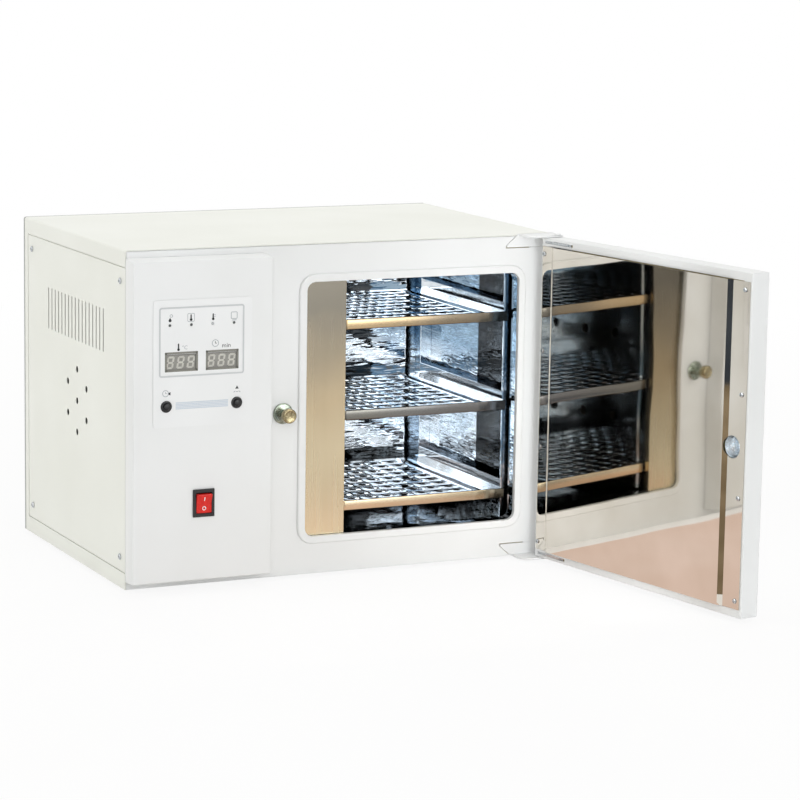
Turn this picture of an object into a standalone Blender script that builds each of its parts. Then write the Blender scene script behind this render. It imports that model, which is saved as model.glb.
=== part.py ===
"""Bench dry heat sterilizer with a side-hinged door, standing open.

Metres, +Z up, +X to the right, +Y to the back. The case is laid out with its
left front lower corner at the origin, then set over its own footprint.
"""
import math

import bmesh
import bpy
from mathutils import Matrix, Vector

# Case
case_width = 0.530
case_depth = 0.346
case_height = 0.379
sheet = 0.0012
case_bend = 0.003
fit_gap = 0.0003
overrun = 0.002
foot_height = 0.004
foot_radius = 0.011
foot_stem_radius = 0.0025
foot_inset = 0.036

# Control fascia, which stands as far forward as the shut door
fascia_width = 0.165
fascia_depth = 0.025
fascia_end_gap = 0.0085
fascia_slope = 0.0018
fascia_edge = 0.0012

# Chamber opening in the front panel
panel_thickness = 0.002
opening_from_fascia = 0.051
opening_from_right = 0.046
opening_from_floor = 0.0435
opening_from_top = 0.0435
opening_corner = 0.010
lip_width = 0.009
lip_height = 0.003
jamb_depth = 0.015

# Chamber
liner_sheet = 0.0008
chamber_side_room = 0.008
chamber_floor_drop = 0.0075
chamber_back_room = 0.081
duct_plate_width = 0.051
duct_plate_setback = 0.0035
duct_sheet = 0.001
duct_hole_radius = 0.006
duct_hole_columns = 4
duct_hole_rows = 3

# Shelves
shelf_right_room = 0.015
shelf_back_room = 0.039
shelf_setback = 0.012
shelf_sheet = 0.001
shelf_lip_height = 0.0125
shelf_lip_return = 0.006
lowest_shelf_rise = 0.0425
top_shelf_headroom = 0.047
shelf_names = ("shelf_bottom", "shelf_middle", "shelf_top")
shelf_hole_radius = 0.0045
shelf_hole_pitch = 0.0226
shelf_hole_inset_x = 0.0153
shelf_hole_inset_y = 0.011
shelf_plain_strip = 0.040
shelf_plain_back = 0.018
shelf_crease_width = 0.003
shelf_crease_depth = 0.0005
runner_sheet = 0.0015
runner_rise = 0.009
runner_overlap = 0.006
rack_post_width = 0.010
rack_post_inset = 0.008
rack_back_room = 0.021
shelf_side_gap = 0.001

# Side cover with its vents
cover_border_top = 0.0195
cover_border_back = 0.016
cover_groove = 0.0012
cover_sheet = 0.001
cover_inset = 0.0002
cover_ledge = 0.013
cover_ledge_sheet = 0.0012
cover_screw_inset_y = 0.015
cover_screw_inset_z = 0.0155
vent_slot_count = 17
vent_slot_pitch = 0.01165
vent_slot_width = 0.0028
vent_slot_length = 0.049
vent_first_slot = 0.0703
vent_from_top = 0.0975
vent_hole_radius = 0.004
vent_hole_circle = 0.0363
vent_holes_y = 0.158
vent_holes_drop = 0.094

# Screws
screw_head_radius = 0.0036
screw_head_height = 0.0018
screw_shank_radius = 0.0018
screw_shank_length = 0.007
rivet_head_radius = 0.0028
rivet_head_height = 0.0011
rivet_shank_radius = 0.0014
rivet_shank_length = 0.006

# Control overlay and what shows through it
overlay_left = 0.023
overlay_width = 0.1165
overlay_from_top = 0.053
overlay_height = 0.141
overlay_corner = 0.004
overlay_thickness = 0.0004
frame_inset_side = 0.007
frame_inset_top = 0.008
frame_width = 0.100
frame_height = 0.077
frame_corner = 0.003
frame_line = 0.0014
frame_rise = 0.0003
display_width = 0.038
display_height = 0.0195
display_body = 0.008
display_rise = 0.0157
display_inset = 0.0255
display_pitch = 0.0481
board_thickness = 0.0016
board_margin = 0.008
board_standoff_radius = 0.0025
lamp_radius = 0.0015
lamp_inset = 0.0125
lamp_drop = 0.020
lamp_pitch = 0.0252
lamp_count = 4

# Push buttons
button_inset = 0.0155
button_spacing = 0.0833
button_rise = 0.0233
button_flange_radius = 0.0065
button_flange_height = 0.0016
button_barrel_radius = 0.0052
button_barrel_length = 0.013
button_bore_radius = 0.0040
button_cap_radius = 0.0037
button_cap_proud = 0.0024
button_cap_length = 0.009
button_travel = 0.0015

# Rocker switch
switch_x = 0.083
switch_z = 0.0977
switch_bezel_width = 0.0255
switch_bezel_height = 0.0315
switch_bezel_thickness = 0.002
switch_body_width = 0.0215
switch_body_height = 0.0275
switch_body_depth = 0.026
switch_wall = 0.0014
switch_window_width = 0.0186
switch_window_height = 0.0236
rocker_width = 0.0180
rocker_height = 0.0218
rocker_depth = 0.0085
rocker_proud = 0.0036
rocker_pivot_depth = 0.0015
rocker_tilt = math.radians(9)
terminal_width = 0.0063
terminal_thickness = 0.0008
terminal_length = 0.008

# Door
door_gap = 0.0076
door_thickness = 0.024
door_side_gap = 0.0015
door_end_gap = 0.0013
door_outer_bend = 0.005
door_edge = 0.0012
door_border = 0.0105
door_side_flange = 0.013
door_open_angle = math.radians(99.7)
hinge_from_edge = 0.00844
hinge_from_panel = 0.0233
liner_margin_hinge = 0.003
liner_margin_free = 0.0025
liner_flange_hinge = 0.020
liner_flange_free = 0.0265
liner_step_width = 0.006
liner_rise = 0.003
liner_end_gap = 0.0005
rivet_inset_hinge = 0.006
rivet_inset_free = 0.0095
rivet_first_height = 0.020
rivet_rows = 4

# Latch
stud_from_fascia = 0.0235
stud_below_middle = 0.002
stud_flange_radius = 0.012
stud_flange_thickness = 0.0022
stud_neck_radius = 0.0048
stud_head_radius = 0.0083
stud_head_length = 0.0085
stud_head_chamfer = 0.0015
stud_length = 0.022
stud_shank_radius = 0.004
stud_nut_radius = 0.0075
stud_nut_thickness = 0.005
catch_hole_radius = 0.0125
catch_wall = 0.0012
catch_bottom = 0.0012
magnet_radius = 0.008
magnet_height = 0.0065
knob_from_edge = 0.050
knob_radius = 0.015
knob_height = 0.020
knob_base_radius = 0.010
knob_base_height = 0.008
knob_stem_radius = 0.003
knob_nut_radius = 0.006
knob_nut_thickness = 0.004

# Hinges
bracket_thickness = 0.002
bracket_leaf_height = 0.0142
bracket_leaf_length = 0.0617
bracket_ear_length = 0.0465
bracket_corner_height = 0.0025
bracket_slot_gap = 0.001
bracket_slot_length = 0.0297
bracket_ear_corner = 0.014
bracket_ear_margin = 0.0045
bracket_back_corner = 0.005
pin_radius = 0.0025
pin_length = 0.013
pin_head_radius = 0.004
pin_head_height = 0.0012
hinge_plate_length = 0.050
hinge_plate_thickness = 0.0025
hinge_plate_end_gap = 0.001
bush_radius = 0.0042
hinge_tab_inset = 0.010
bush_length = 0.009
hinge_slot_length = 0.051
hinge_slot_start = 0.0055
hinge_slot_height = 0.003
hinge_slot_level = 0.0035

# Insides
partition_gap = 0.005
wool_gap = 0.0004
wool_back_room = 0.016
heater_radius = 0.004
heater_bend = 0.016
heater_length = 0.190
heater_floor_gap = 0.030
heater_lead = 0.016
sensor_radius = 0.0025
sensor_reach = 0.040
sensor_drop = 0.025
sensor_from_right = 0.092
transformer_size = (0.058, 0.066, 0.054)
transformer_coil_proud = 0.008
transformer_y = 0.190
power_board_size = (0.0016, 0.120, 0.090)
power_board_y = 0.120
power_board_z = 0.190
relay_size = (0.016, 0.028, 0.020)
board_leg = 0.006
cutout_radius = 0.014
cutout_depth = 0.020
cutout_y = 0.250
cutout_from_top = 0.059
rear_slot_count = 9
rear_slot_pitch = 0.012
rear_slot_width = 0.004
rear_slot_length = 0.050
rear_slot_x = 0.036
rear_slot_from_top = 0.079
gland_x = 0.060
gland_z = 0.070
gland_radius = 0.0095
gland_bore = 0.0045
gland_length = 0.018
gland_nut_radius = 0.012
gland_nut_thickness = 0.005
fuse_x = 0.110
fuse_radius = 0.0075
fuse_cap_height = 0.008
fuse_slot = 0.0015
fuse_body_radius = 0.006
fuse_body_length = 0.026

# Facets
round_sides = 20
small_sides = 16
pin_sides = 12
screw_sides = 10
hole_sides = 8
corner_steps = 4

# Places that follow from the sizes above
door_left = fascia_width + door_side_gap
door_right = case_width
door_inner = -door_gap
door_outer = -door_gap - door_thickness
hinge_x = case_width - hinge_from_edge
hinge_y = -hinge_from_panel
opening_left = fascia_width + opening_from_fascia
opening_right = case_width - opening_from_right
opening_bottom = opening_from_floor
opening_top = case_height - opening_from_top
chamber_left = opening_left - chamber_side_room
chamber_right = opening_right + chamber_side_room
chamber_floor = opening_bottom - chamber_floor_drop
chamber_ceiling = opening_top + chamber_floor_drop
chamber_back = case_depth - chamber_back_room
duct_right = opening_left + duct_plate_width
sensor_x = chamber_right - sensor_from_right
shelf_left = duct_right + fit_gap + runner_sheet + shelf_side_gap
shelf_right = chamber_right - shelf_right_room
shelf_back = chamber_back - shelf_back_room
lowest_shelf_height = chamber_floor + lowest_shelf_rise
shelf_reach = opening_top - top_shelf_headroom - lowest_shelf_height
shelf_spacing = shelf_reach / (len(shelf_names) - 1)
shelf_hole_room_x = shelf_right - shelf_plain_strip - shelf_left - shelf_hole_inset_x - shelf_hole_radius
shelf_hole_room_y = shelf_back - shelf_plain_back - shelf_setback - shelf_hole_inset_y
shelf_hole_columns = math.floor(shelf_hole_room_x / shelf_hole_pitch) + 1
shelf_hole_rows = math.floor(shelf_hole_room_y / shelf_hole_pitch) + 1
partition_x = fascia_width + partition_gap
bay_inner_left = sheet + fit_gap
inner_right = case_width - sheet - fit_gap
fascia_face = -fascia_depth
overlay_back = fascia_face - fit_gap
overlay_face = overlay_back - overlay_thickness
panel_back = panel_thickness
ear_front = hinge_y - bracket_ear_margin
bracket_leaf_left = case_width - bracket_leaf_length
bracket_ear_left = case_width - bracket_ear_length
bracket_slot_end = bracket_leaf_left + bracket_slot_length
overlay_bottom = case_height - overlay_from_top - overlay_height
frame_left = overlay_left + frame_inset_side
frame_bottom = overlay_bottom + overlay_height - frame_inset_top - frame_height
display_centre_height = frame_bottom + display_rise
display_temperature_x = frame_left + display_inset
display_time_x = display_temperature_x + display_pitch
lamp_first_x = frame_left + lamp_inset
lamp_height = frame_bottom + frame_height - lamp_drop
button_left_x = overlay_left + button_inset
button_right_x = button_left_x + button_spacing
button_centre_height = overlay_bottom + button_rise
stud_x = fascia_width + stud_from_fascia
stud_z = case_height / 2 - stud_below_middle
knob_x = door_left + knob_from_edge
vent_centre_height = case_height - vent_from_top
vent_holes_z = vent_centre_height - vent_holes_drop
rear_slot_z = case_height - rear_slot_from_top
cutout_z = case_height - cutout_from_top
hinge_plate_level = door_end_gap + hinge_slot_level + (hinge_slot_height - hinge_plate_thickness) / 2

parts = None
cutters = None
root = None


def clear_scene():
    for item in list(bpy.data.objects):
        bpy.data.objects.remove(item, do_unlink=True)
    for block in (bpy.data.meshes, bpy.data.curves, bpy.data.materials):
        for item in list(block):
            block.remove(item)


def make_collections():
    global parts, cutters
    parts = bpy.data.collections.new("dry_heat_sterilizer")
    cutters = bpy.data.collections.new("cutters")
    bpy.context.scene.collection.children.link(parts)
    bpy.context.scene.collection.children.link(cutters)


def material(name, colour, roughness, metallic=0.0):
    found = bpy.data.materials.get(name)
    if found:
        return found
    made = bpy.data.materials.new(name)
    made.use_nodes = True
    shader = made.node_tree.nodes["Principled BSDF"]
    shader.inputs["Base Color"].default_value = (*colour, 1.0)
    shader.inputs["Roughness"].default_value = roughness
    shader.inputs["Metallic"].default_value = metallic
    return made


def white_paint():
    return material("powder_coated_steel", (0.80, 0.81, 0.80), 0.45)


def polished_steel():
    return material("polished_stainless", (0.72, 0.71, 0.68), 0.12, 1.0)


def brushed_steel():
    return material("brushed_stainless", (0.62, 0.61, 0.58), 0.30, 1.0)


def zinc_steel():
    return material("zinc_plated_steel", (0.62, 0.63, 0.64), 0.35, 1.0)


def black_plastic():
    return material("black_plastic", (0.02, 0.02, 0.022), 0.4)


def black_rubber():
    return material("black_rubber", (0.03, 0.03, 0.03), 0.8)


def mineral_wool():
    return material("mineral_wool", (0.55, 0.50, 0.36), 0.95)


def place(item, collection, surface=None):
    for holder in list(item.users_collection):
        holder.objects.unlink(item)
    collection.objects.link(item)
    if surface:
        item.data.materials.clear()
        item.data.materials.append(surface)
    return item


def empty_at(name, location, parent=None):
    item = bpy.data.objects.new(name, None)
    item.location = location
    item.empty_display_size = case_width / 20
    parts.objects.link(item)
    if parent:
        item.parent = parent
    return item


def carry(item, carrier):
    """Parent a piece to an empty that isn't turned yet, and keep it in place."""
    item.parent = carrier
    item.matrix_parent_inverse = Matrix.Translation(-carrier.location)
    return item


def box_mesh(name, low, high):
    mesh = bpy.data.meshes.new(name)
    form = bmesh.new()
    size = Vector(high) - Vector(low)
    bmesh.ops.create_cube(form, size=1.0)
    bmesh.ops.scale(form, vec=size, verts=form.verts)
    form.to_mesh(mesh)
    form.free()
    return mesh


def box(name, low, high, surface=None, collection=None):
    item = bpy.data.objects.new(name, box_mesh(name, low, high))
    item.location = (Vector(low) + Vector(high)) / 2
    place(item, collection or parts, surface)
    return item


def outline_solid(name, points, start, depth, plane, surface=None, collection=None):
    """Extrude a closed outline. plane XZ runs along +Y, YZ along +X, XY along +Z."""
    turn = {
        "XY": Matrix.Identity(4),
        "XZ": Matrix(((1, 0, 0, 0), (0, 0, 1, 0), (0, 1, 0, 0), (0, 0, 0, 1))),
        "YZ": Matrix(((0, 0, 1, 0), (1, 0, 0, 0), (0, 1, 0, 0), (0, 0, 0, 1))),
    }[plane]
    mesh = bpy.data.meshes.new(name)
    form = bmesh.new()
    corners = [form.verts.new((a, b, start)) for a, b in points]
    face = form.faces.new(corners)
    swept = bmesh.ops.extrude_face_region(form, geom=[face])
    moved = [part for part in swept["geom"] if isinstance(part, bmesh.types.BMVert)]
    bmesh.ops.translate(form, vec=(0, 0, depth), verts=moved)
    bmesh.ops.transform(form, matrix=turn, verts=form.verts)
    bmesh.ops.recalc_face_normals(form, faces=form.faces)
    form.to_mesh(mesh)
    form.free()
    item = bpy.data.objects.new(name, mesh)
    place(item, collection or parts, surface)
    return item


def arc(centre, radius, first, last, steps=corner_steps):
    turns = [first + (last - first) * step / steps for step in range(steps + 1)]
    return [(centre[0] + radius * math.cos(math.radians(turn)),
             centre[1] + radius * math.sin(math.radians(turn))) for turn in turns]


def rounded_outline(left, right, bottom, top, radius, steps=corner_steps):
    points = []
    points += arc((right - radius, bottom + radius), radius, -90, 0, steps)
    points += arc((right - radius, top - radius), radius, 0, 90, steps)
    points += arc((left + radius, top - radius), radius, 90, 180, steps)
    points += arc((left + radius, bottom + radius), radius, 180, 270, steps)
    return points


def rod(name, start, end, radius, surface=None, collection=None, sides=small_sides):
    start = Vector(start)
    end = Vector(end)
    run = end - start
    mesh = bpy.data.meshes.new(name)
    form = bmesh.new()
    bmesh.ops.create_cone(form, cap_ends=True, segments=sides, radius1=radius,
                          radius2=radius, depth=run.length)
    turn = run.to_track_quat("Z", "Y").to_matrix().to_4x4()
    bmesh.ops.transform(form, matrix=turn, verts=form.verts)
    form.to_mesh(mesh)
    form.free()
    item = bpy.data.objects.new(name, mesh)
    item.location = (start + end) / 2
    place(item, collection or parts, surface)
    return item


def turned(name, profile, centre, axis, surface, sides=round_sides):
    """Spin a profile of (radius, distance) pairs, listed up its outer side, about an axis."""
    mesh = bpy.data.meshes.new(name)
    form = bmesh.new()
    closed = profile[0] == profile[-1]
    spots = profile[:-1] if closed else profile
    line = [form.verts.new((radius, 0, distance)) for radius, distance in reversed(spots)]
    if closed:
        line.append(line[0])
    for pair in zip(line, line[1:]):
        form.edges.new(pair)
    form.to_mesh(mesh)
    form.free()
    item = bpy.data.objects.new(name, mesh)
    turn = item.modifiers.new("turn", "SCREW")
    turn.axis = "Z"
    turn.steps = sides
    turn.render_steps = sides
    turn.use_merge_vertices = True
    turn.merge_threshold = 0.00001
    item.location = centre
    item.rotation_mode = "QUATERNION"
    item.rotation_quaternion = Vector(axis).to_track_quat("Z", "Y")
    place(item, parts, surface)
    return item


def as_cutter(item):
    item.hide_render = True
    item.display_type = "WIRE"
    place(item, cutters)
    return item


def combine(target, tool, operation):
    as_cutter(tool)
    step = target.modifiers.new(operation.lower(), "BOOLEAN")
    step.operation = operation
    step.solver = "EXACT"
    step.object = tool
    return target


def cut(target, tool):
    return combine(target, tool, "DIFFERENCE")


def add(target, tool):
    return combine(target, tool, "UNION")


def cut_many(target, tools):
    """Cut with several clear, closed forms held in one mesh."""
    gathered = tools[0]
    mesh = bpy.data.meshes.new(gathered.name)
    form = bmesh.new()
    for tool in tools:
        piece = tool.data.copy()
        piece.transform(Matrix.Translation(tool.location))
        form.from_mesh(piece)
        bpy.data.meshes.remove(piece)
    form.to_mesh(mesh)
    form.free()
    for tool in tools[1:]:
        bpy.data.objects.remove(tool, do_unlink=True)
    gathered.data = mesh
    gathered.location = (0, 0, 0)
    return cut(target, gathered)


def soften(item, width, segments=2, limit=40):
    step = item.modifiers.new("edges", "BEVEL")
    step.width = width
    step.segments = segments
    step.limit_method = "ANGLE"
    step.angle_limit = math.radians(limit)
    return item


def make_feet():
    paint = black_rubber()
    rim = foot_radius * 0.85
    for side, x in (("left", foot_inset), ("right", case_width - foot_inset)):
        for end, y in (("front", foot_inset), ("rear", case_depth - foot_inset)):
            profile = [(0, -foot_height), (rim, -foot_height), (foot_radius, -foot_height / 2),
                       (foot_radius, -fit_gap), (foot_stem_radius, -fit_gap),
                       (foot_stem_radius, sheet), (0, sheet)]
            name = f"foot_{end}_{side}"
            foot = turned(name, profile, (x, y, 0), (0, 0, 1), paint, small_sides)
            carry(foot, root)


def foot_holes():
    holes = []
    for x in (foot_inset, case_width - foot_inset):
        for y in (foot_inset, case_depth - foot_inset):
            holes.append(rod("foot_hole", (x, y, -overrun), (x, y, sheet + overrun),
                             foot_stem_radius + fit_gap))
    return holes


def make_base_pan():
    front = panel_back + fit_gap
    back = case_depth - sheet - fit_gap
    flange = 0.6 * bracket_leaf_height
    pan = box("base_pan", (bay_inner_left, front, 0), (inner_right, back, flange), white_paint())
    hollow = box("base_hollow", (bay_inner_left + sheet, front - overrun, sheet),
                 (inner_right - sheet, back + overrun, flange + overrun))
    cut(pan, hollow)
    cut_many(pan, foot_holes())
    return carry(pan, root)


def wrap_outline():
    bend = case_bend
    inner = bend - sheet
    top = case_height - bend
    right = case_width - bend
    points = [(0, 0)]
    points += list(reversed(arc((bend, top), bend, 90, 180)))
    points += list(reversed(arc((right, top), bend, 0, 90)))
    points += [(case_width, 0), (case_width - sheet, 0)]
    points += arc((right, top), inner, 0, 90)
    points += arc((bend, top), inner, 90, 180)
    points += [(sheet, 0)]
    return points


def cover_window(grow):
    low = (-grow, cover_border_top - grow)
    high = (case_depth - cover_border_back + grow, case_height - cover_border_top + grow)
    return low, high


def make_case_wrap():
    wrap = outline_solid("case_wrap", wrap_outline(), 0, case_depth, "XZ", white_paint())
    ledge_face = cover_inset + cover_sheet + fit_gap
    low, high = cover_window(cover_ledge / 2)
    ledge = box("ledge", (sheet / 2, panel_thickness + fit_gap, low[1]),
                (ledge_face + cover_ledge_sheet, high[0], high[1]))
    add(wrap, ledge)
    low, high = cover_window(cover_groove)
    pocket = box("cover_pocket", (-overrun, -overrun, low[1]),
                 (ledge_face, high[0], high[1]))
    cut(wrap, pocket)
    low, high = cover_window(-cover_ledge)
    window = box("cover_window", (-overrun, low[0], low[1]),
                 (ledge_face + cover_ledge_sheet + overrun, high[0], high[1]))
    cut(wrap, window)
    notch_left = bracket_ear_left - 2 * bracket_thickness
    notch = box("wrap_notch", (notch_left, -overrun, case_height - bracket_leaf_height),
                (inner_right, bracket_thickness + fit_gap, case_height + overrun))
    cut(wrap, notch)
    holes = [rod("ledge_hole", (-overrun, y, z), (case_bend + overrun, y, z),
                 screw_shank_radius + fit_gap, sides=hole_sides) for y, z in cover_screw_places()]
    cut_many(wrap, holes)
    return carry(wrap, root)


def cover_screw_places():
    low, high = cover_window(0)
    ys = (low[0] + cover_screw_inset_y, high[0] - cover_screw_inset_y)
    zs = (low[1] + cover_screw_inset_z, high[1] - cover_screw_inset_z)
    return [(y, z) for z in zs for y in ys]


def vent_slot(y, z, length, width, x_low, x_high):
    points = rounded_outline(y - width / 2, y + width / 2, z - length / 2, z + length / 2,
                             width / 3, 1)
    return outline_solid("vent_slot", points, x_low, x_high - x_low, "YZ")


def make_side_cover():
    low, high = cover_window(0)
    x_low = cover_inset
    x_high = cover_inset + cover_sheet
    cover = box("side_cover", (x_low, low[0], low[1]), (x_high, high[0], high[1]), white_paint())
    tools = []
    for count in range(vent_slot_count):
        y = vent_first_slot + count * vent_slot_pitch
        tools.append(vent_slot(y, vent_centre_height, vent_slot_length, vent_slot_width,
                               x_low - overrun, x_high + overrun))
    spots = [(vent_holes_y, vent_holes_z)]
    spots += arc((vent_holes_y, vent_holes_z), vent_hole_circle, 30, 330, 5)
    for y, z in spots:
        tools.append(rod("vent_hole", (x_low - overrun, y, z), (x_high + overrun, y, z),
                         vent_hole_radius, sides=pin_sides))
    for y, z in cover_screw_places():
        tools.append(rod("screw_hole", (x_low - overrun, y, z), (x_high + overrun, y, z),
                         screw_shank_radius + fit_gap, sides=hole_sides))
    cut_many(cover, tools)
    return carry(cover, root)


def pan_head_screw(name, seat, axis, surface):
    """A screw whose head underside sits at its origin, with the axis out of the head."""
    crown = screw_head_height
    profile = [(0, -screw_shank_length), (screw_shank_radius, -screw_shank_length),
               (screw_shank_radius, 0), (screw_head_radius, 0),
               (screw_head_radius, crown / 2), (screw_head_radius * 0.7, crown), (0, crown)]
    return turned(name, profile, seat, axis, surface, screw_sides)


def make_side_screws():
    for count, (y, z) in enumerate(cover_screw_places(), 1):
        seat = (cover_inset - fit_gap, y, z)
        screw = pan_head_screw(f"side_screw_{count}", seat, (-1, 0, 0), zinc_steel())
        carry(screw, root)


def opening_outline(grow):
    return rounded_outline(opening_left - grow, opening_right + grow, opening_bottom - grow,
                           opening_top + grow, opening_corner + grow)


def leaf_outline(gap, slot, drop):
    """Bracket leaf below, or the notch that holds it, seen from the front at the bottom."""
    left = bracket_leaf_left - gap
    top = bracket_leaf_height
    end = bracket_slot_end
    points = [(bracket_ear_left - gap, drop), (left, top - bracket_corner_height + gap)]
    if slot:
        points[1] = (left - slot, top - bracket_corner_height + gap)
        points += [(left - slot, top + slot), (end, top + slot), (end, top + gap)]
    else:
        points += [(left, top)]
    points += [(inner_right + (overrun if slot else 0), top + gap if slot else top)]
    points += [(inner_right + (overrun if slot else 0), drop)]
    return points


def mirrored_up(points):
    return [(x, case_height - z) for x, z in reversed(points)]


def panel_outline(bottom):
    """Front or rear panel, with its upper corners rounded to the inside of the wrap."""
    bend = case_bend - sheet - fit_gap
    top = case_height - sheet - fit_gap
    points = [(bay_inner_left, bottom), (inner_right, bottom)]
    points += arc((inner_right - bend, top - bend), bend, 0, 90)
    points += arc((bay_inner_left + bend, top - bend), bend, 90, 180)
    return points


def make_front_frame():
    frame = outline_solid("front_frame", panel_outline(0), 0, panel_thickness, "XZ", white_paint())
    lip = outline_solid("lip", opening_outline(lip_width), -lip_height,
                        lip_height + panel_thickness / 2, "XZ")
    soften(lip, 0.7 * lip_height, 3)
    add(frame, lip)
    hole = outline_solid("opening", opening_outline(0), -lip_height - overrun,
                         lip_height + panel_thickness + 2 * overrun, "XZ")
    cut(frame, hole)
    notch = leaf_outline(fit_gap, bracket_slot_gap, -overrun)
    lower = outline_solid("lower_notch", notch, -overrun, panel_thickness + 2 * overrun, "XZ")
    cut(frame, lower)
    upper = outline_solid("upper_notch", mirrored_up(notch), -overrun,
                          panel_thickness + 2 * overrun, "XZ")
    cut(frame, upper)
    half_width = switch_body_width / 2 + 4 * fit_gap
    half_height = switch_body_height / 2 + 4 * fit_gap
    bay = box("switch_way", (switch_x - half_width, -overrun, switch_z - half_height),
              (switch_x + half_width, panel_thickness + overrun, switch_z + half_height))
    cut(frame, bay)
    cables = rod("cable_way", (display_time_x, -overrun, button_centre_height),
                 (display_time_x, panel_thickness + overrun, button_centre_height),
                 2 * button_flange_radius)
    cut(frame, cables)
    stud = rod("stud_hole", (stud_x, -overrun, stud_z), (stud_x, panel_thickness + overrun, stud_z),
               stud_shank_radius + fit_gap)
    cut(frame, stud)
    return carry(frame, root)


def fascia_outline(inset):
    """Side view of the fascia: an upright face between two ends that slope a little."""
    back = -fit_gap + (2 * overrun if inset else 0)
    low = fascia_end_gap + inset
    high = case_height - low
    face = fascia_face + inset
    return [(back, low), (face, low + fascia_slope), (face, high - fascia_slope), (back, high)]


def make_fascia_box():
    fascia = outline_solid("fascia_box", fascia_outline(0), 0, fascia_width, "YZ", white_paint())
    soften(fascia, fascia_edge, 2, 20)
    hollow = outline_solid("fascia_hollow", fascia_outline(sheet), sheet, fascia_width - 2 * sheet, "YZ")
    cut(fascia, hollow)
    tools = [display_block("display_way", x, fit_gap, fascia_face - overrun, fascia_face + sheet + overrun)
             for x in (display_temperature_x, display_time_x)]
    for x in (button_left_x, button_right_x):
        tools.append(rod("button_way", (x, fascia_face - overrun, button_centre_height),
                         (x, fascia_face + sheet + overrun, button_centre_height),
                         button_barrel_radius + fit_gap))
    for x in lamp_places():
        tools.append(rod("lamp_way", (x, fascia_face - overrun, lamp_height),
                         (x, fascia_face + sheet + overrun, lamp_height), lamp_radius + fit_gap,
                         sides=hole_sides))
    half_width = switch_body_width / 2 + fit_gap
    half_height = switch_body_height / 2 + fit_gap
    tools.append(box("switch_cutout", (switch_x - half_width, fascia_face - overrun, switch_z - half_height),
                     (switch_x + half_width, fascia_face + sheet + overrun, switch_z + half_height)))
    cut_many(fascia, tools)
    return carry(fascia, root)


def lamp_places():
    return [lamp_first_x + count * lamp_pitch for count in range(lamp_count)]


def display_block(name, x, grow, front, back, surface=None):
    half_width = display_width / 2 + grow
    half_height = display_height / 2 + grow
    return box(name, (x - half_width, front, display_centre_height - half_height),
               (x + half_width, back, display_centre_height + half_height), surface)


def make_control_overlay():
    outline = rounded_outline(overlay_left, overlay_left + overlay_width, overlay_bottom,
                              overlay_bottom + overlay_height, overlay_corner)
    overlay = outline_solid("control_overlay", outline, overlay_face, overlay_thickness, "XZ",
                            material("printed_polyester", (0.74, 0.75, 0.75), 0.35))
    right = frame_left + frame_width
    top = frame_bottom + frame_height
    rim = outline_solid("frame_rim", rounded_outline(frame_left, right, frame_bottom, top, frame_corner),
                        overlay_face - frame_rise, frame_rise + overlay_thickness / 2, "XZ")
    add(overlay, rim)
    inner = rounded_outline(frame_left + frame_line, right - frame_line, frame_bottom + frame_line,
                            top - frame_line, frame_corner - frame_line)
    sunk = outline_solid("frame_inner", inner, overlay_face - frame_rise - overrun,
                         frame_rise + overrun, "XZ")
    cut(overlay, sunk)
    front = overlay_face - overrun
    back = overlay_back + overrun
    tools = [display_block("overlay_window", x, -2 * fit_gap, front, back)
             for x in (display_temperature_x, display_time_x)]
    for x in (button_left_x, button_right_x):
        tools.append(rod("overlay_hole", (x, front, button_centre_height), (x, back, button_centre_height),
                         button_flange_radius + fit_gap))
    for x in lamp_places():
        tools.append(rod("overlay_lamp", (x, front, lamp_height), (x, back, lamp_height),
                         lamp_radius + fit_gap, sides=hole_sides))
    cut_many(overlay, tools)
    return carry(overlay, root)


def make_displays():
    glass = material("smoked_display_resin", (0.30, 0.29, 0.27), 0.25)
    front = fascia_face
    for name, x in (("display_temperature", display_temperature_x), ("display_time", display_time_x)):
        unit = display_block(name, x, 0, front, front + display_body, glass)
        carry(unit, root)


def make_control_board():
    front = fascia_face + display_body + fit_gap
    low_x = display_temperature_x - display_width / 2 - board_margin
    high_x = display_time_x + display_width / 2 + board_margin
    low_z = display_centre_height - display_height / 2 - board_margin
    high_z = lamp_height + board_margin
    board = box("control_board", (low_x, front, low_z), (high_x, front + board_thickness, high_z),
                material("circuit_board", (0.03, 0.16, 0.07), 0.5))
    inset = board_margin / 2
    seat = fascia_face + sheet + fit_gap
    for x in (low_x + inset, high_x - inset):
        for z in (low_z + inset, high_z - inset):
            add(board, rod("standoff", (x, seat, z), (x, front + board_thickness / 2, z),
                           board_standoff_radius, sides=hole_sides))
    for x in lamp_places():
        add(board, rod("lamp", (x, overlay_face + overlay_thickness / 4, lamp_height),
                       (x, front + board_thickness / 2, lamp_height), lamp_radius, sides=hole_sides))
    return carry(board, root)


def make_buttons():
    seat = overlay_back
    for side, x in (("left", button_left_x), ("right", button_right_x)):
        centre = (x, seat, button_centre_height)
        flange = button_flange_height
        profile = [(button_bore_radius, -button_barrel_length), (button_barrel_radius, -button_barrel_length),
                   (button_barrel_radius, 0), (button_flange_radius, 0),
                   (button_flange_radius, flange * 0.6), (button_flange_radius - flange * 0.4, flange),
                   (button_bore_radius, flange), (button_bore_radius, -button_barrel_length)]
        body = turned(f"button_body_{side}", profile, centre, (0, -1, 0), black_plastic(), small_sides)
        carry(body, root)
        face = flange + button_cap_proud
        crown = [(0, face - button_cap_length), (button_cap_radius, face - button_cap_length),
                 (button_cap_radius, face * 0.8), (button_cap_radius * 0.75, face * 0.95), (0, face)]
        cap = turned(f"button_cap_{side}", crown, centre, (0, -1, 0), black_plastic(), small_sides)
        carry(cap, root)


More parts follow.
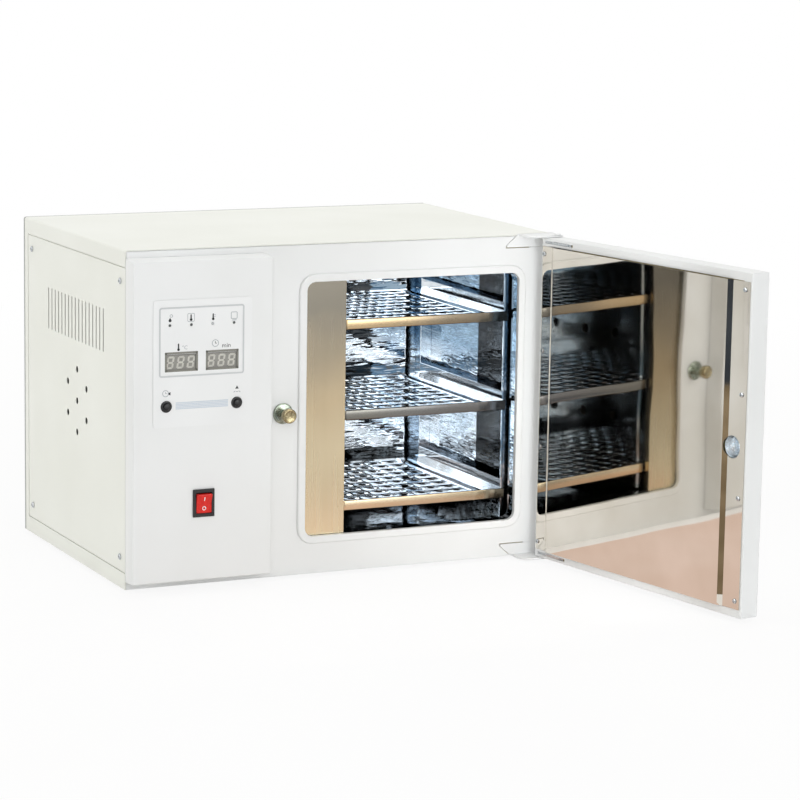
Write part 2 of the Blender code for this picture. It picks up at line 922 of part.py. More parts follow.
def make_switch():
    front = overlay_back - switch_bezel_thickness
    half_width = switch_bezel_width / 2
    half_height = switch_bezel_height / 2
    housing = box("switch_housing", (switch_x - half_width, front, switch_z - half_height),
                  (switch_x + half_width, overlay_back, switch_z + half_height), black_plastic())
    soften(housing, switch_bezel_thickness / 3)
    body_half = switch_body_width / 2
    body_tall = switch_body_height / 2
    back = fascia_face + switch_body_depth
    body = box("switch_body", (switch_x - body_half, front + switch_bezel_thickness / 2, switch_z - body_tall),
               (switch_x + body_half, back, switch_z + body_tall))
    add(housing, body)
    well_half = switch_window_width / 2
    well_tall = switch_window_height / 2
    well = box("switch_well", (switch_x - well_half, front - overrun, switch_z - well_tall),
               (switch_x + well_half, front + 2 * rocker_depth, switch_z + well_tall))
    cut(housing, well)
    for side in (-1, 1):
        for level in (-1, 1):
            x = switch_x + side * switch_body_width / 4
            z = switch_z + level * switch_body_height / 4
            blade = box("terminal", (x - terminal_thickness / 2, back - overrun, z - terminal_width / 2),
                        (x + terminal_thickness / 2, back + terminal_length, z + terminal_width / 2))
            add(housing, blade)
    carry(housing, root)
    make_rocker(front)


def make_rocker(bezel_front):
    """Two flat pads meeting in a shallow V, turned on a cross pin in the housing."""
    pivot = empty_at("rocker_axis", (switch_x, bezel_front + rocker_pivot_depth, switch_z), root)
    half = rocker_height / 2
    crest = -rocker_proud
    valley = -0.55 * rocker_proud
    back = rocker_depth - rocker_proud
    points = [(crest, -half), (valley, 0), (crest, half), (back / 2, half * 0.96), (back, half / 2),
              (back, -half / 2), (back / 2, -half * 0.96)]
    rocker = outline_solid("switch_rocker", points, -rocker_width / 2, rocker_width, "YZ",
                           material("red_rocker", (0.75, 0.02, 0.02), 0.25))
    rocker.parent = pivot
    pivot.rotation_euler.x = rocker_tilt
    return rocker


def make_rear_panel():
    back = case_depth
    front = case_depth - sheet
    panel = outline_solid("rear_panel", panel_outline(fit_gap), front, sheet, "XZ", white_paint())
    tools = []
    for count in range(rear_slot_count):
        x = rear_slot_x + count * rear_slot_pitch
        half = rear_slot_width / 2
        tall = rear_slot_length / 2
        points = rounded_outline(x - half, x + half, rear_slot_z - tall, rear_slot_z + tall, half / 2, 1)
        tools.append(outline_solid("rear_slot", points, front - overrun, sheet + 2 * overrun, "XZ"))
    for x, radius in ((gland_x, gland_radius), (fuse_x, fuse_body_radius)):
        tools.append(rod("rear_hole", (x, front - overrun, gland_z), (x, back + overrun, gland_z),
                         radius + fit_gap))
    cut_many(panel, tools)
    return carry(panel, root)


def make_cord_gland():
    outer = fit_gap
    inner = -sheet - fit_gap
    nut = gland_nut_thickness
    profile = [(gland_bore, inner - nut), (gland_nut_radius, inner - nut), (gland_nut_radius, inner),
               (gland_radius, inner), (gland_radius, outer), (gland_nut_radius, outer),
               (gland_nut_radius, outer + nut), (gland_radius, outer + nut * 1.2),
               (gland_radius * 0.85, gland_length), (gland_bore * 1.2, gland_length),
               (gland_bore, gland_length * 0.9), (gland_bore, inner - nut)]
    gland = turned("cord_gland", profile, (gland_x, case_depth, gland_z), (0, 1, 0), black_plastic(),
                   small_sides)
    return carry(gland, root)


def make_fuse_holder():
    cap = fuse_cap_height
    profile = [(0, -fuse_body_length), (fuse_body_radius, -fuse_body_length), (fuse_body_radius, fit_gap),
               (fuse_radius, fit_gap), (fuse_radius, cap * 0.85), (fuse_radius * 0.85, cap), (0, cap)]
    holder = turned("fuse_holder", profile, (fuse_x, case_depth, gland_z), (0, 1, 0), black_plastic(),
                    small_sides)
    slot = box("fuse_slot", (-fuse_radius * 0.6, -fuse_slot / 2, cap - fuse_slot),
               (fuse_radius * 0.6, fuse_slot / 2, cap + overrun))
    slot.location = (fuse_x, case_depth + cap + overrun / 2, gland_z)
    cut(holder, slot)
    return carry(holder, root)


def make_partition():
    front = panel_back + fit_gap
    back = case_depth - sheet - fit_gap
    wall = box("bay_partition", (partition_x, front, sheet + fit_gap),
               (partition_x + sheet, back, case_height - sheet - fit_gap), zinc_steel())
    return carry(wall, root)


def heater_ends():
    middle = (chamber_left + duct_right) / 2
    low = chamber_floor + heater_floor_gap
    first = jamb_depth + 2 * heater_bend
    return middle, low, first


def make_chamber_liner():
    wall = liner_sheet
    front = panel_back + fit_gap
    liner = box("chamber_liner", (chamber_left - wall, front, chamber_floor - wall),
                (chamber_right + wall, chamber_back + wall, chamber_ceiling + wall), polished_steel())
    hollow = box("chamber_hollow", (chamber_left, front + wall, chamber_floor),
                 (chamber_right, chamber_back, chamber_ceiling))
    cut(liner, hollow)
    jamb = outline_solid("jamb", opening_outline(wall), front, jamb_depth - front, "XZ")
    add(liner, jamb)
    mouth = outline_solid("chamber_mouth", opening_outline(0), front - overrun,
                          jamb_depth - front + 2 * overrun, "XZ")
    cut(liner, mouth)
    cut_many(liner, heater_holes(wall) + [sensor_hole()])
    return carry(liner, root)


def heater_holes(depth):
    middle, low, first = heater_ends()
    holes = []
    for y in (first, first + 6 * heater_bend):
        holes.append(rod("heater_hole", (chamber_left - depth - overrun, y, low),
                         (chamber_left + overrun, y, low), heater_radius + fit_gap))
    return holes


def sensor_hole():
    z = chamber_ceiling - sensor_drop
    return rod("sensor_hole", (sensor_x, chamber_back - overrun, z),
               (sensor_x, chamber_back + liner_sheet + overrun, z), sensor_radius + fit_gap)


def make_duct_cover():
    """An upright sheet bent to an L, which parts the heater from the shelves."""
    front = duct_plate_setback
    left = opening_left + fit_gap
    low = opening_bottom + fit_gap
    high = opening_top - fit_gap
    radius = opening_corner
    points = [(duct_right, low), (duct_right, high)]
    points += arc((left + radius, high - radius), radius, 90, 180)
    points += arc((left + radius, low + radius), radius, 180, 270)
    cover = outline_solid("duct_cover", points, front, duct_sheet, "XZ", brushed_steel())
    side = box("duct_side", (duct_right - duct_sheet, front + duct_sheet / 2, low),
               (duct_right, chamber_back - fit_gap, high))
    add(cover, side)
    tools = []
    reach = chamber_back - jamb_depth
    for level in range(duct_hole_rows):
        z = lowest_shelf_height + (2 * level + 1) * shelf_spacing / 2
        for count in range(duct_hole_columns):
            y = jamb_depth + reach * (count + 1) / (duct_hole_columns + 1)
            tools.append(rod("air_hole", (duct_right - duct_sheet - overrun, y, z),
                             (duct_right + overrun, y, z), duct_hole_radius, sides=hole_sides))
    cut_many(cover, tools)
    return carry(cover, root)


def shelf_levels():
    return [lowest_shelf_height + count * shelf_spacing for count in range(len(shelf_names))]


def make_shelf(name, top):
    shelf = box(name, (shelf_left, shelf_setback, top - shelf_sheet), (shelf_right, shelf_back, top),
                brushed_steel())
    lip = box("shelf_lip", (shelf_left, shelf_setback, top - shelf_lip_height),
              (shelf_right, shelf_setback + shelf_sheet, top - shelf_sheet / 2))
    add(shelf, lip)
    hem = box("shelf_hem", (shelf_left, shelf_setback + shelf_sheet / 2, top - shelf_lip_height),
              (shelf_right, shelf_setback + shelf_lip_return, top - shelf_lip_height + shelf_sheet))
    add(shelf, hem)
    crease = shelf_right - shelf_plain_strip
    tools = [box("crease", (crease, shelf_setback + 2 * shelf_sheet, top - shelf_crease_depth),
                 (crease + shelf_crease_width, shelf_back + overrun, top + overrun))]
    for column in range(shelf_hole_columns):
        for row in range(shelf_hole_rows):
            x = shelf_left + shelf_hole_inset_x + column * shelf_hole_pitch
            y = shelf_setback + shelf_hole_inset_y + row * shelf_hole_pitch
            tools.append(rod("shelf_hole", (x, y, top - shelf_sheet - overrun), (x, y, top + overrun),
                             shelf_hole_radius, sides=hole_sides))
    cut_many(shelf, tools)
    return carry(shelf, root)


def make_shelves():
    for name, top in zip(shelf_names, shelf_levels()):
        make_shelf(name, top)


def make_runners(rack, web, leg):
    """Three angle runners from the front post to the rear one. web and leg are their ranges in X."""
    front = jamb_depth + rack_post_inset
    back = chamber_back - rack_back_room
    for top in shelf_levels():
        seat = top - shelf_sheet - fit_gap
        add(rack, box("runner_web", (web[0], front, seat - runner_sheet), (web[1], back, top + runner_rise)))
        add(rack, box("runner_leg", (leg[0], front, seat - runner_sheet), (leg[1], back, seat)))


def make_left_rack():
    """Two flat posts against the duct cover, with their runners."""
    left = duct_right + fit_gap
    right = left + runner_sheet
    front = jamb_depth + rack_post_inset
    back = chamber_back - rack_back_room
    floor = chamber_floor + fit_gap
    ceiling = chamber_ceiling - fit_gap
    rack = box("shelf_rack_left", (left, front, floor), (right, front + rack_post_width, ceiling),
               brushed_steel())
    add(rack, box("rack_post", (left, back - rack_post_width, floor), (right, back, ceiling)))
    make_runners(rack, (left, right), (left + runner_sheet / 2, shelf_left + runner_overlap))
    return carry(rack, root)


def make_right_rack():
    """Two posts across the room beside the shelves, with the runners on their inner edge."""
    left = shelf_right + shelf_side_gap
    right = chamber_right - fit_gap
    front = jamb_depth + rack_post_inset
    back = chamber_back - rack_back_room
    floor = chamber_floor + fit_gap
    ceiling = chamber_ceiling - fit_gap
    rack = box("shelf_rack_right", (left, front, floor), (right, front + runner_sheet, ceiling),
               brushed_steel())
    add(rack, box("rack_post", (left, back - runner_sheet, floor), (right, back, ceiling)))
    make_runners(rack, (left, left + runner_sheet), (shelf_right - runner_overlap, left + runner_sheet / 2))
    return carry(rack, root)


def make_racks():
    make_left_rack()
    make_right_rack()


def make_insulation():
    front = panel_back + fit_gap
    low = (partition_x + sheet + wool_gap, front, sheet + wool_gap)
    high = (inner_right - sheet - wool_gap, case_depth - wool_back_room, case_height - sheet - wool_gap)
    wool = box("chamber_insulation", low, high, mineral_wool())
    wall = liner_sheet + wool_gap
    hollow = box("wool_hollow", (chamber_left - wall, front - overrun, chamber_floor - wall),
                 (chamber_right + wall, chamber_back + wall, chamber_ceiling + wall))
    cut(wool, hollow)
    pocket = rod("nut_pocket", (stud_x, front - overrun, stud_z),
                 (stud_x, front + 2 * stud_nut_thickness + 4 * fit_gap, stud_z), stud_nut_radius + 3 * fit_gap)
    cut(wool, pocket)
    middle, low_z, first = heater_ends()
    tools = []
    for y in (first, first + 6 * heater_bend):
        tools.append(rod("lead_way", (chamber_left - heater_lead - overrun, y, low_z),
                         (chamber_left + overrun, y, low_z), heater_radius + fit_gap))
    z = chamber_ceiling - sensor_drop
    tools.append(rod("sensor_way", (sensor_x, chamber_back - overrun, z),
                     (sensor_x, case_depth - wool_back_room + overrun, z), sensor_radius + fit_gap))
    cut_many(wool, tools)
    return carry(wool, root)


def make_heater():
    """One tube bent into four upright legs, with both ends led out through the liner's left wall."""
    middle, low, first = heater_ends()
    bend = heater_bend
    high = low + heater_length
    route = [(chamber_left - heater_lead, first, low), (middle - bend / 2, first, low)]
    route += [(middle - bend / 6, first, low + bend / 6), (middle, first, low + bend / 2)]
    for leg in range(3):
        y = first + 2 * bend * leg
        rising = leg % 2 == 0
        centre_z = high - bend if rising else low + bend
        turn = arc((y + bend, centre_z), bend, 180, 0 if rising else 360, 6)
        route += [(middle, a, b) for a, b in turn]
    y = first + 6 * bend
    route += [(middle, y, low + bend / 2), (middle - bend / 6, y, low + bend / 6)]
    route += [(middle - bend / 2, y, low), (chamber_left - heater_lead, y, low)]
    curve = bpy.data.curves.new("heater_element", "CURVE")
    curve.dimensions = "3D"
    curve.bevel_depth = heater_radius
    curve.bevel_resolution = 1
    curve.use_fill_caps = True
    spline = curve.splines.new("POLY")
    spline.points.add(len(route) - 1)
    for point, spot in zip(spline.points, route):
        point.co = (*spot, 1)
    tube = bpy.data.objects.new("heater_tube", curve)
    cutters.objects.link(tube)
    bpy.context.view_layer.update()
    mesh = bpy.data.meshes.new_from_object(tube.evaluated_get(bpy.context.evaluated_depsgraph_get()))
    bpy.data.objects.remove(tube, do_unlink=True)
    form = bmesh.new()
    form.from_mesh(mesh)
    bmesh.ops.remove_doubles(form, verts=form.verts, dist=fit_gap / 10)
    form.to_mesh(mesh)
    form.free()
    heater = bpy.data.objects.new("heater_element", mesh)
    place(heater, parts, material("heater_sheath", (0.28, 0.27, 0.26), 0.45, 1.0))
    return carry(heater, root)


def make_sensor():
    z = chamber_ceiling - sensor_drop
    probe = rod("temperature_sensor", (sensor_x, chamber_back - sensor_reach, z),
                (sensor_x, case_depth - wool_back_room + 2 * overrun, z), sensor_radius, brushed_steel())
    return carry(probe, root)


def make_bay_units():
    long, deep, tall = transformer_size
    middle = (bay_inner_left + partition_x) / 2
    floor = sheet + fit_gap
    low = (middle - long / 2, transformer_y - deep / 2, floor)
    high = (middle + long / 2, transformer_y + deep / 2, floor + tall)
    core = box("transformer", low, high, material("laminated_iron", (0.20, 0.18, 0.17), 0.5, 1.0))
    proud = transformer_coil_proud
    add(core, box("transformer_coil", (low[0] + proud, low[1] - proud, floor + proud),
                  (high[0] - proud, high[1] + proud, high[2] - proud)))
    carry(core, root)
    thick, span, rise = power_board_size
    face = partition_x - fit_gap - board_leg
    board = box("power_board", (face - thick, power_board_y - span / 2, power_board_z - rise / 2),
                (face, power_board_y + span / 2, power_board_z + rise / 2),
                material("circuit_board", (0.03, 0.16, 0.07), 0.5))
    for y in (power_board_y - span / 2 + board_margin, power_board_y + span / 2 - board_margin):
        for z in (power_board_z - rise / 2 + board_margin, power_board_z + rise / 2 - board_margin):
            add(board, rod("board_leg", (face - thick / 2, y, z), (face + board_leg, y, z),
                           board_standoff_radius, sides=hole_sides))
    for count in (-1, 1):
        y = power_board_y + count * span / 4
        add(board, box("relay", (face - thick / 2 - relay_size[0], y - relay_size[1] / 2,
                                 power_board_z - relay_size[2] / 2),
                       (face - thick / 2, y + relay_size[1] / 2, power_board_z + relay_size[2] / 2)))
    carry(board, root)
    cutout = rod("thermal_cutout", (partition_x - fit_gap, cutout_y, cutout_z),
                 (partition_x - fit_gap - cutout_depth, cutout_y, cutout_z), cutout_radius,
                 material("phenolic_body", (0.05, 0.05, 0.05), 0.5))
    carry(cutout, root)


def make_latch_stud():
    seat = fit_gap
    rim = seat + stud_flange_thickness
    chamfer = stud_head_chamfer
    head = stud_length - stud_head_length
    nut_face = -panel_thickness - fit_gap
    nut_end = nut_face - stud_nut_thickness
    profile = [(0, nut_end - stud_nut_thickness), (stud_shank_radius, nut_end - stud_nut_thickness),
               (stud_shank_radius, nut_end), (stud_nut_radius, nut_end), (stud_nut_radius, nut_face),
               (stud_shank_radius, nut_face), (stud_shank_radius, seat), (stud_flange_radius, seat),
               (stud_flange_radius, rim - chamfer / 2), (stud_flange_radius - chamfer / 2, rim),
               (stud_neck_radius, rim), (stud_neck_radius, head),
               (stud_head_radius - chamfer, head), (stud_head_radius, head + chamfer),
               (stud_head_radius, stud_length - chamfer), (stud_head_radius - chamfer, stud_length),
               (0, stud_length)]
    stud = turned("latch_stud", profile, (stud_x, 0, stud_z), (0, -1, 0), zinc_steel())
    return carry(stud, root)


def ear_outline():
    """Plan of the bracket's ear: round at the free left corner and round the pin."""
    round_left = bracket_ear_corner
    round_right = bracket_back_corner
    back = bracket_thickness
    points = [(bracket_ear_left, back)]
    points += arc((bracket_ear_left + round_left, ear_front + round_left), round_left, 180, 270, 6)
    points += arc((inner_right - round_right, ear_front + round_right), round_right, 270, 360)
    points += [(inner_right, back)]
    return points


def make_bracket(name, upper):
    half = bracket_thickness / 2
    leaf = leaf_outline(0, 0, -half)
    level = case_height if upper else 0
    outline = mirrored_up(leaf) if upper else leaf
    bracket = outline_solid(name, outline, 0, bracket_thickness, "XZ", white_paint())
    ear = outline_solid("ear", ear_outline(), level - half, bracket_thickness, "XY")
    add(bracket, ear)
    hole = rod("ear_hole", (hinge_x, hinge_y, level - half - overrun),
               (hinge_x, hinge_y, level + half + overrun), pin_radius + fit_gap)
    cut(bracket, hole)
    return carry(bracket, root)


def make_pin(name, upper):
    half = bracket_thickness / 2
    level = case_height if upper else 0
    out = 1 if upper else -1
    head = half + fit_gap
    profile = [(0, -pin_length), (pin_radius * 0.8, -pin_length), (pin_radius, -pin_length + pin_radius / 2),
               (pin_radius, head), (pin_head_radius, head), (pin_head_radius, head + pin_head_height * 0.7),
               (pin_head_radius * 0.8, head + pin_head_height), (0, head + pin_head_height)]
    pin = turned(name, profile, (hinge_x, hinge_y, level), (0, 0, out), zinc_steel(), pin_sides)
    return carry(pin, root)


def make_hinges():
    for end, upper in (("bottom", False), ("top", True)):
        make_bracket(f"hinge_bracket_{end}", upper)
        make_pin(f"hinge_pin_{end}", upper)


def door_outline(inset, inner=None):
    """Plan of the shut door, with its outer hinge corner bent round."""
    low_x = door_left + inset
    high_x = door_right - inset
    inner = inner or door_inner - inset
    outer = door_outer + inset
    bend = door_outer_bend - inset
    points = [(high_x, inner), (low_x, inner), (low_x, outer)]
    points += arc((high_x - bend, outer + bend), bend, 270, 360, 5)
    return points


def make_door_skin(axis):
    low = door_end_gap
    high = case_height - door_end_gap
    skin = outline_solid("door_skin", door_outline(0), low, high - low, "XY", white_paint())
    soften(skin, door_edge, 2, 40)
    hollow = outline_solid("door_hollow", door_outline(sheet), low + sheet, high - low - 2 * sheet, "XY")
    cut(skin, hollow)
    mouth = box("door_mouth", (door_left + door_side_flange, door_inner - sheet - overrun, low + door_border - sheet),
                (door_right - door_side_flange, door_inner + overrun, high - door_border + sheet))
    cut(skin, mouth)
    tools = []
    slot_right = door_right - hinge_slot_start
    for level in (low + hinge_slot_level, high - hinge_slot_level - hinge_slot_height):
        tools.append(box("hinge_slot", (slot_right - hinge_slot_length, door_inner - sheet - overrun, level),
                         (slot_right, door_inner + overrun, level + hinge_slot_height)))
    for level in (low, high):
        tools.append(rod("pin_way", (hinge_x, hinge_y, level - sheet - overrun),
                         (hinge_x, hinge_y, level + sheet + overrun), pin_radius + fit_gap))
    for x, z in rivet_places():
        tools.append(rod("rivet_way", (x, door_inner - sheet - overrun, z), (x, door_inner + overrun, z),
                         rivet_shank_radius + fit_gap, sides=hole_sides))
    tools.append(rod("knob_way", (knob_x, door_outer - overrun, stud_z),
                     (knob_x, door_outer + sheet + overrun, stud_z), knob_stem_radius + fit_gap))
    tools.append(rod("catch_way", (stud_x, door_inner - sheet - overrun, stud_z),
                     (stud_x, door_inner + overrun, stud_z), catch_hole_radius + catch_wall + fit_gap,
                     sides=round_sides))
    cut_many(skin, tools)
    return carry(skin, axis)


def rivet_places():
    xs = (door_right - rivet_inset_hinge, door_left + rivet_inset_free)
    span = case_height - 2 * rivet_first_height
    zs = [rivet_first_height + span * row / (rivet_rows - 1) for row in range(rivet_rows)]
    return [(x, z) for x in xs for z in zs]


def liner_section(inward):
    """Plan of the joggled liner, offset inward by a sheet for its other face."""
    face = door_inner + fit_gap + inward
    raised = face + liner_rise
    right = door_right - liner_margin_hinge
    left = door_left + liner_margin_free
    step = liner_step_width
    right_step = right - liner_flange_hinge + liner_margin_hinge
    left_step = left + liner_flange_free
    return [(left, face), (left_step, face), (left_step + step, raised),
            (right_step - step, raised), (right_step, face), (right, face)]


def make_door_liner(axis):
    back = liner_section(0)
    front = liner_section(liner_sheet)
    outline = back + list(reversed(front))
    low = door_end_gap + door_border - sheet + liner_end_gap
    high = case_height - low
    liner = outline_solid("door_liner", outline, low, high - low, "XY", polished_steel())
    tools = []
    for x, z in rivet_places():
        tools.append(rod("rivet_hole", (x, door_inner - overrun, z), (x, door_inner + 2 * overrun, z),
                         rivet_shank_radius + fit_gap, sides=hole_sides))
    cut_many(liner, tools)
    hole = rod("catch_hole", (stud_x, door_inner - overrun, stud_z),
               (stud_x, door_inner + liner_rise + 2 * overrun, stud_z), catch_hole_radius, sides=round_sides)
    cut(liner, hole)
    return carry(liner, axis)


def make_liner_rivets(axis):
    seat = door_inner + 2 * fit_gap + liner_sheet
    crown = rivet_head_height
    for count, (x, z) in enumerate(rivet_places(), 1):
        profile = [(0, -rivet_shank_length), (rivet_shank_radius, -rivet_shank_length),
                   (rivet_shank_radius, 0), (rivet_head_radius, 0), (rivet_head_radius, crown * 0.4),
                   (rivet_head_radius * 0.6, crown), (0, crown)]
        rivet = turned(f"liner_screw_{count}", profile, (x, seat, z), (0, 1, 0), zinc_steel(), screw_sides)
        carry(rivet, axis)


def make_catch_socket(axis):
    bottom = door_outer + sheet + fit_gap
    depth = door_inner - bottom
    outer = catch_hole_radius + catch_wall
    magnet = catch_bottom + magnet_height
    profile = [(0, 0), (outer, 0), (outer, depth), (catch_hole_radius, depth),
               (catch_hole_radius, catch_bottom), (magnet_radius, catch_bottom),
               (magnet_radius, magnet), (0, magnet)]
    socket = turned("catch_socket", profile, (stud_x, bottom, stud_z), (0, 1, 0), zinc_steel())
    return carry(socket, axis)


def make_knob(axis):
    base = knob_base_height
    high = knob_height
    nut = -sheet - fit_gap
    end = nut - knob_nut_thickness
    profile = [(0, end), (knob_nut_radius, end), (knob_nut_radius, nut), (knob_stem_radius, nut),
               (knob_stem_radius, fit_gap),
               (knob_base_radius, fit_gap), (knob_base_radius * 0.85, base * 0.5), (knob_base_radius, base),
               (knob_radius, base + (high - base) * 0.35), (knob_radius, base + (high - base) * 0.7),
               (knob_radius * 0.85, high), (0, high + fit_gap)]
    knob = turned("door_knob", profile, (knob_x, door_outer, stud_z), (0, -1, 0), black_plastic())
    return carry(knob, axis)


def make_hinge_plates(axis):
    for end, upper in (("bottom", False), ("top", True)):
        low = hinge_plate_level
        if upper:
            low = case_height - hinge_plate_level - hinge_plate_thickness
        front = door_outer + sheet + fit_gap
        back = door_inner - sheet - fit_gap
        right = door_right - sheet - hinge_plate_end_gap
        left = right - hinge_plate_length
        corner = door_outer_bend - sheet
        outline = [(left, front), (right - corner, front), (right, front + corner), (right, back), (left, back)]
        plate = outline_solid(f"hinge_plate_{end}", outline, low, hinge_plate_thickness, "XY", zinc_steel())
        slot_right = door_right - hinge_slot_start
        add(plate, box("tab", (slot_right - hinge_slot_length + hinge_tab_inset, back - overrun, low),
                       (slot_right - fit_gap, door_inner - fit_gap, low + hinge_plate_thickness)))
        inward = -1 if upper else 1
        root_z = low + hinge_plate_thickness / 2
        tip_z = root_z + inward * bush_length
        add(plate, rod("bush", (hinge_x, hinge_y, root_z), (hinge_x, hinge_y, tip_z), bush_radius))
        cut(plate, rod("bush_bore", (hinge_x, hinge_y, root_z - inward * hinge_plate_thickness),
                       (hinge_x, hinge_y, tip_z + inward * overrun), pin_radius + fit_gap))
        carry(plate, axis)


def make_door_insulation(axis):
    """A slab behind the liner, cut back round the hinge plates and the catch."""
    low = door_end_gap + sheet + wool_gap
    high = case_height - low
    face = door_inner - sheet - wool_gap
    wool = outline_solid("door_insulation", door_outline(sheet + wool_gap, face), low, high - low, "XY",
                         mineral_wool())
    plate_room = hinge_plate_level + hinge_plate_thickness + bush_length + 2 * fit_gap - low
    left = door_right - hinge_plate_length - 2 * hinge_plate_end_gap - sheet
    for level in (low - overrun, high - plate_room):
        cut(wool, box("plate_room", (left, door_outer - overrun, level),
                      (door_right + overrun, door_inner, level + plate_room + overrun)))
    cut(wool, rod("socket_room", (stud_x, door_outer - overrun, stud_z), (stud_x, door_inner, stud_z),
                  catch_hole_radius + catch_wall + wool_gap, sides=round_sides))
    nut = knob_nut_thickness + sheet + 2 * fit_gap
    cut(wool, rod("nut_room", (knob_x, door_outer, stud_z), (knob_x, door_outer + nut + wool_gap, stud_z),
                  knob_nut_radius + wool_gap))
    for x, z in rivet_places():
        cut(wool, rod("rivet_room", (x, door_inner - rivet_shank_length - overrun, z), (x, door_inner, z),
                      rivet_shank_radius + wool_gap, sides=hole_sides))
    return carry(wool, axis)


def make_door():
    axis = empty_at("door_hinge_axis", (hinge_x, hinge_y, 0), root)
    make_door_skin(axis)
    make_door_liner(axis)
    make_liner_rivets(axis)
    make_catch_socket(axis)
    make_knob(axis)
    make_hinge_plates(axis)
    make_door_insulation(axis)
    for item in axis.children:
        for step in item.modifiers:
            if step.type == "BOOLEAN":
                carry(step.object, axis)
    axis.rotation_euler.z = door_open_angle
    return axis


def settle_cutters():
    """Let every cutter of the fixed pieces move with the case."""
    for item in cutters.objects:
        if not item.parent:
            item.parent = root


def smooth_round_pieces():
    for item in parts.objects:
        if item.type == "MESH":
            item.data.shade_smooth()
            item.data.set_sharp_from_angle(angle=math.radians(35))


def stand_on_origin():
    """Move the case so that the middle of its footprint is at the origin and its feet at zero."""
    bpy.context.view_layer.update()
    graph = bpy.context.evaluated_depsgraph_get()
    spots = []
    for item in parts.objects:
        if item.type in {"MESH", "CURVE"}:
            ready = item.evaluated_get(graph)
            spots += [ready.matrix_world @ Vector(corner) for corner in ready.bound_box]
    middle_x = (min(spot.x for spot in spots) + max(spot.x for spot in spots)) / 2
    middle_y = (min(spot.y for spot in spots) + max(spot.y for spot in spots)) / 2
    root.location = (-middle_x, -middle_y, foot_height)
    bpy.context.view_layer.update()


def main():
    global root
    clear_scene()
    make_collections()
    root = empty_at("sterilizer_origin", (0, 0, 0))
    make_feet()
    make_base_pan()
    make_case_wrap()
    make_side_cover()
    make_side_screws()
    make_front_frame()
    make_fascia_box()
    make_control_overlay()
    make_displays()
    make_control_board()
    make_buttons()
    make_switch()
    make_rear_panel()
    make_cord_gland()
    make_fuse_holder()
    make_partition()
    make_chamber_liner()
    make_duct_cover()
    make_racks()
    make_shelves()
    make_insulation()
    make_heater()
    make_sensor()
    make_bay_units()
    make_latch_stud()
    make_hinges()
    make_door()
    settle_cutters()
    smooth_round_pieces()
    stand_on_origin()
    print("case origin", [round(value, 5) for value in root.location])


main()
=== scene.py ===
import math

import bmesh
import bpy
from mathutils import Matrix, Vector


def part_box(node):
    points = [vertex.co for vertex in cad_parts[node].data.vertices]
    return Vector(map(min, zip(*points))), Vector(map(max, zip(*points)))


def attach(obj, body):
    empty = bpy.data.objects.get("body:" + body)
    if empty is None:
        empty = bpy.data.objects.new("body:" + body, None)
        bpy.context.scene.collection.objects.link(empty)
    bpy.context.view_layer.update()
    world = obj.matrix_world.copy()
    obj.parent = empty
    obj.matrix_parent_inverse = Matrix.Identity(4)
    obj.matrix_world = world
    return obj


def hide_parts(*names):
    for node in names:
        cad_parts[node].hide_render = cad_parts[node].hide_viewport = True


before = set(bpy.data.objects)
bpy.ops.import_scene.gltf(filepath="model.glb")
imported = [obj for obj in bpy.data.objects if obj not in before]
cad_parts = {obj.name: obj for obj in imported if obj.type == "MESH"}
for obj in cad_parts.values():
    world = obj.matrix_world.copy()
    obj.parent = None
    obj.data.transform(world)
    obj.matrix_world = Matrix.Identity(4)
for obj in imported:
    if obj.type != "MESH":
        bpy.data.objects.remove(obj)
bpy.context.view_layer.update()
print("frame loaded")

mm = 0.001
caseCorner = Vector(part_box("case_wrap")[0])  # left front lower corner of the case
caseSize = {"width": 530.0, "depth": 346.0, "height": 379.0}
doorHinge = {"x": 521.56, "y": -23.3, "opened": 99.7}


def spot(x, y, z):
    return caseCorner + Vector((x, y, z)) * mm


def doorTurn():
    axis = spot(doorHinge["x"], doorHinge["y"], 0)
    turn = Matrix.Rotation(math.radians(doorHinge["opened"]), 4, "Z")
    return Matrix.Translation(axis) @ turn @ Matrix.Translation(-axis)


def linear(hexColour):
    parts = [int(hexColour[i:i + 2], 16) / 255 for i in (1, 3, 5)]
    return [c / 12.92 if c <= 0.04045 else ((c + 0.055) / 1.055) ** 2.4 for c in parts] + [1.0]


def setInputs(tree, node, values):
    # a node given as a value stands for its first output, and a text for a hex colour
    for key, value in values.items():
        if isinstance(value, bpy.types.Node):
            value = value.outputs[0]
        if isinstance(value, bpy.types.NodeSocket):
            tree.links.new(value, node.inputs[key])
        else:
            node.inputs[key].default_value = linear(value) if isinstance(value, str) else value


def addNode(tree, kind, values, stops=(), **settings):
    node = tree.nodes.new(f"ShaderNode{kind}")
    for key, value in settings.items():
        setattr(node, key, value)
    for count, (place, colour) in enumerate(stops):
        stop = node.color_ramp.elements[count] if count < 2 else node.color_ramp.elements.new(place)
        stop.position = place
        stop.color = linear(colour)
    setInputs(tree, node, values)
    return node


def startMaterial(name, **values):
    material = bpy.data.materials.new(name)
    material.use_nodes = True
    tree = material.node_tree
    shader = tree.nodes["Principled BSDF"]
    setInputs(tree, shader, values)
    return material, tree, shader, addNode(tree, "TexCoord", {}).outputs["Object"]


def clouded(tree, coords, scale, detail, dark, light, **more):
    # a noise of some size, and a colour that follows it from dark to light
    noise = addNode(tree, "TexNoise", {"Vector": coords, "Scale": scale, "Detail": detail, **more})
    return noise, addNode(tree, "ValToRGB", {"Fac": noise}, [(0.3, dark), (0.7, light)])


def wireSurface(tree, shader, colour, grain, roughness, bump=None):
    # colour, a roughness that follows the grain between two limits, and relief where there is any
    rough = addNode(tree, "MapRange", {"Value": grain, "To Min": roughness[0], "To Max": roughness[1]})
    setInputs(tree, shader, {"Base Color": colour, "Roughness": rough})
    if bump:
        setInputs(tree, shader, {"Normal": bump})


